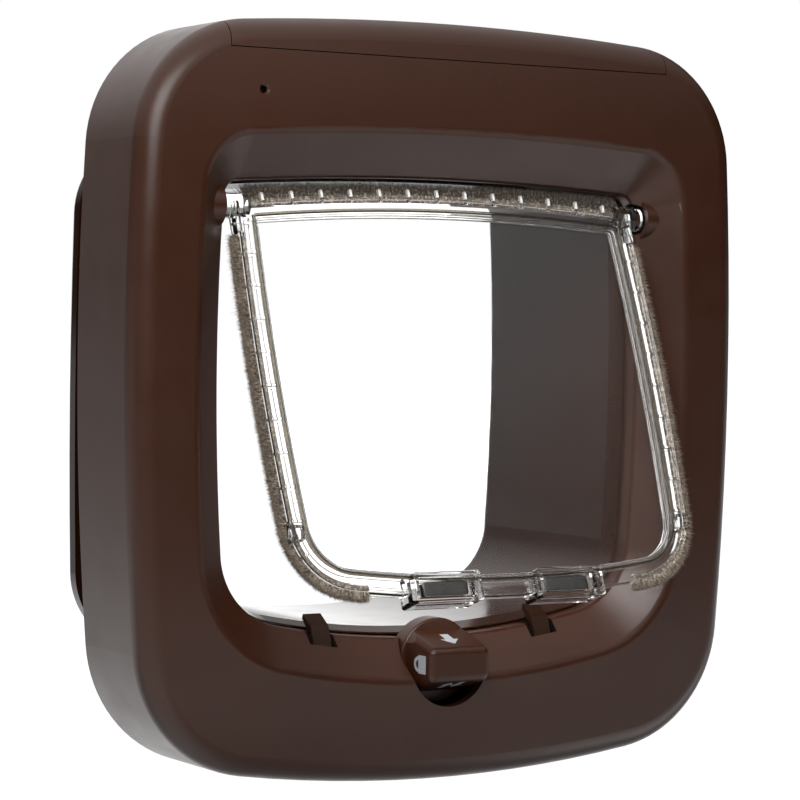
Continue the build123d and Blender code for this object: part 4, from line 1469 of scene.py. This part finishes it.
@dataclass
class Studio:
    """Camera, floor, one soft lamp and a white surround; places are in metres, the lens in millimetres."""

    eye: Triple = (-0.4989, -0.8290, 0.0272)
    right: Triple = (0.855, -0.5185, 0.0135)
    up: Triple = (0.0032, 0.0313, 0.9995)
    back: Triple = (-0.5187, -0.8545, 0.0284)
    lens: float = 132.4
    sensor: float = 36.0
    sight: float = 200.0
    lamp_at: Triple = (-0.28, -0.45, 0.40)
    lamp_side: float = 0.4
    lamp_watts: float = 2.6
    backdrop_way: Triple = (0.2, 0.98, 0.0)
    backdrop: Ramp = (0.01, 1.6, 0.85, 0.95)
    backdrop_matt: float = 0.3
    ceiling: Ramp = (0.01, 0.6, 0.42, 0.85)
    ceiling_gloss: RampPair = ((0.01, 0.85, 0.13, 0.6), (1.0, 0.0, 0.5, 0.72))
    left_wall: Ramp = (0.16, 0.01, -0.85, -0.35)
    table_gloss: Ramp = (1.0, 0.0, -0.22, -0.08)
    clear_view: RampPair = ((0.0, 1.0, -0.15, 0.3), (1.0, 0.0, -0.9, -0.75))
    clear_white: float = 1.05
    floor_z: float = -0.37
    floor_half: float = 60.0
    floor_front: float = -0.9
    floor_grey: float = 0.36
    floor_lift: Ramp = (0.78, 0.97, 0.5, 2.5)
    sheen_front: Ramp = (0.68, 0.12, -0.6, -0.38)
    sheen_left: RampPair = ((1.0, 0.0, -0.1, 0.05), (0.8, 0.3, 0.0, 0.14))
    sheen_right: Ramp = (0.0, 1.0, 0.16, 0.27)
    sheen_band: RampPair = ((0.0, 1.5, -0.34, -0.25), (1.5, 0.0, -0.08, 0.02))
    sheen_rear: RampPair = ((0.12, 1.2, 0.1, 0.5), (1.2, 0.35, 0.8, 2.5))

    def camera(self) -> None:
        """The camera at the photograph's place, its three directions squared up."""
        data = bpy.data.cameras.new("photo_camera")
        data.lens = self.lens
        data.sensor_width = self.sensor
        data.clip_end = self.sight
        camera = linked("photo_camera", data)
        square, signs = np.linalg.qr(np.array([self.right, self.up, self.back]).T)
        camera.matrix_world = standing(square * np.sign(np.diag(signs)), self.eye)
        bpy.context.scene.camera = camera

    def air(self) -> None:
        """The surround: white to the eye and through the clear flap, dimmer towards the front for light."""
        world = bpy.data.worlds.new("studio_air")
        bpy.context.scene.world = world
        world.use_nodes = True
        graph = Graph(world.node_tree)
        way = graph.add("ShaderNodeTexCoord").outputs["Generated"]
        axes = graph.add("ShaderNodeSeparateXYZ", {0: way}).outputs
        path = graph.add("ShaderNodeLightPath").outputs
        mirrored, through = path["Is Glossy Ray"], path["Is Transmission Ray"]
        behind = graph.add("ShaderNodeVectorMath", {0: way, 1: self.backdrop_way}, operation="DOT_PRODUCT")
        backdrop = graph.spread(behind.outputs["Value"], *self.backdrop)
        ceiling = graph.ramps("MULTIPLY", (axes["Z"], axes["X"]), self.ceiling_gloss)
        level = graph.highest(
            graph.math("MULTIPLY", backdrop, graph.spread(mirrored, self.backdrop_matt, 1.0, 0.0, 1.0)),
            graph.spread(axes["Z"], *self.ceiling),
            graph.spread(axes["X"], *self.left_wall),
            graph.math("MULTIPLY", ceiling, mirrored),
            graph.math("MULTIPLY", graph.spread(axes["Z"], *self.table_gloss), mirrored),
        )
        clear = graph.ramps("MAXIMUM", (axes["Y"], axes["Y"]), self.clear_view)
        seen = graph.highest(path["Is Camera Ray"], graph.math("MULTIPLY", through, clear))
        white = graph.spread(through, 1.0, self.clear_white, 0.0, 1.0)
        strength = graph.add("ShaderNodeMix", {0: seen, 2: level, 3: white}, data_type="FLOAT").outputs[0]
        air = graph.add("ShaderNodeBackground", {"Color": (1.0, 1.0, 1.0, 1.0), "Strength": strength})
        graph.add("ShaderNodeOutputWorld", {"Surface": air.outputs[0]})

    def sheen(self, graph: Graph) -> Socket:
        """How bright the floor is in the object's gloss: dim below its front, brighter round that.

        Args:
            graph: the floor material's graph.

        Returns:
            The brightest of four patches: front, left, right and rear.
        """
        axes = graph.axes()
        aside, depth = axes["X"], axes["Y"]
        band = graph.ramps("MINIMUM", (depth, depth), self.sheen_band)
        return graph.highest(
            graph.spread(depth, *self.sheen_front),
            graph.ramps("MULTIPLY", (aside, depth), self.sheen_left),
            graph.math("MULTIPLY", graph.spread(aside, *self.sheen_right), band),
            graph.ramps("MINIMUM", (depth, depth), self.sheen_rear),
        )

    def floor(self) -> None:
        """The pale floor: lit and shadowed, and lifted to white where the eye sees it unshadowed."""
        half, front, low = self.floor_half, self.floor_front, self.floor_z
        corners = [(-half, front, low), (half, front, low), (half, half, low), (-half, half, low)]
        mesh = bpy.data.meshes.new("studio_floor")
        mesh.from_pydata(corners, [], [[0, 1, 2, 3]])
        material, graph = new_graph("floor_pale")
        paper = graph.add("ShaderNodeBsdfDiffuse", {"Color": (*[self.floor_grey] * 3, 1.0)})
        path = graph.add("ShaderNodeLightPath").outputs
        seen = graph.highest(path["Is Camera Ray"], path["Is Transmission Ray"])
        far = graph.add("ShaderNodeVectorMath", {0: graph.place()}, operation="LENGTH").outputs["Value"]
        white = graph.math("MULTIPLY", seen, graph.spread(far, *self.floor_lift))
        gloss = graph.math("MULTIPLY", path["Is Glossy Ray"], self.sheen(graph))
        lift = graph.math("ADD", white, gloss)
        glow = graph.add("ShaderNodeEmission", {"Color": (1.0, 1.0, 1.0, 1.0), "Strength": lift})
        both = graph.add("ShaderNodeAddShader", {0: paper.outputs[0], 1: glow.outputs[0]})
        graph.add("ShaderNodeOutputMaterial", {"Surface": both.outputs[0]})
        mesh.materials.append(material)
        linked("studio_floor", mesh)

    def lamp(self) -> None:
        """A square soft lamp above the front that faces the object."""
        data = bpy.data.lights.new("key_above_front", "AREA")
        data.size = self.lamp_side
        data.energy = self.lamp_watts
        away = np.array(self.lamp_at) / np.linalg.norm(self.lamp_at)
        side = np.cross([0.0, 0.0, 1.0], away)
        side /= np.linalg.norm(side)
        turn = np.stack([side, np.cross(away, side), away], axis=-1)
        linked("key_above_front", data).matrix_world = standing(turn, self.lamp_at)

    def build(self) -> None:
        """Set up the camera, the air, the floor and the lamp."""
        self.camera()
        self.air()
        self.floor()
        self.lamp()
        bpy.context.scene.view_settings.view_transform = "Standard"
        LOG.info("set up the studio")


def main() -> None:
    """Build the sub-assemblies in order."""
    logging.basicConfig(level=logging.INFO, format="%(message)s")
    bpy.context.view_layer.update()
    for assembly in (Studio(), Housing(), Works(), Flap(), Lock()):
        assembly.build()


if __name__ == "__main__":
    main()
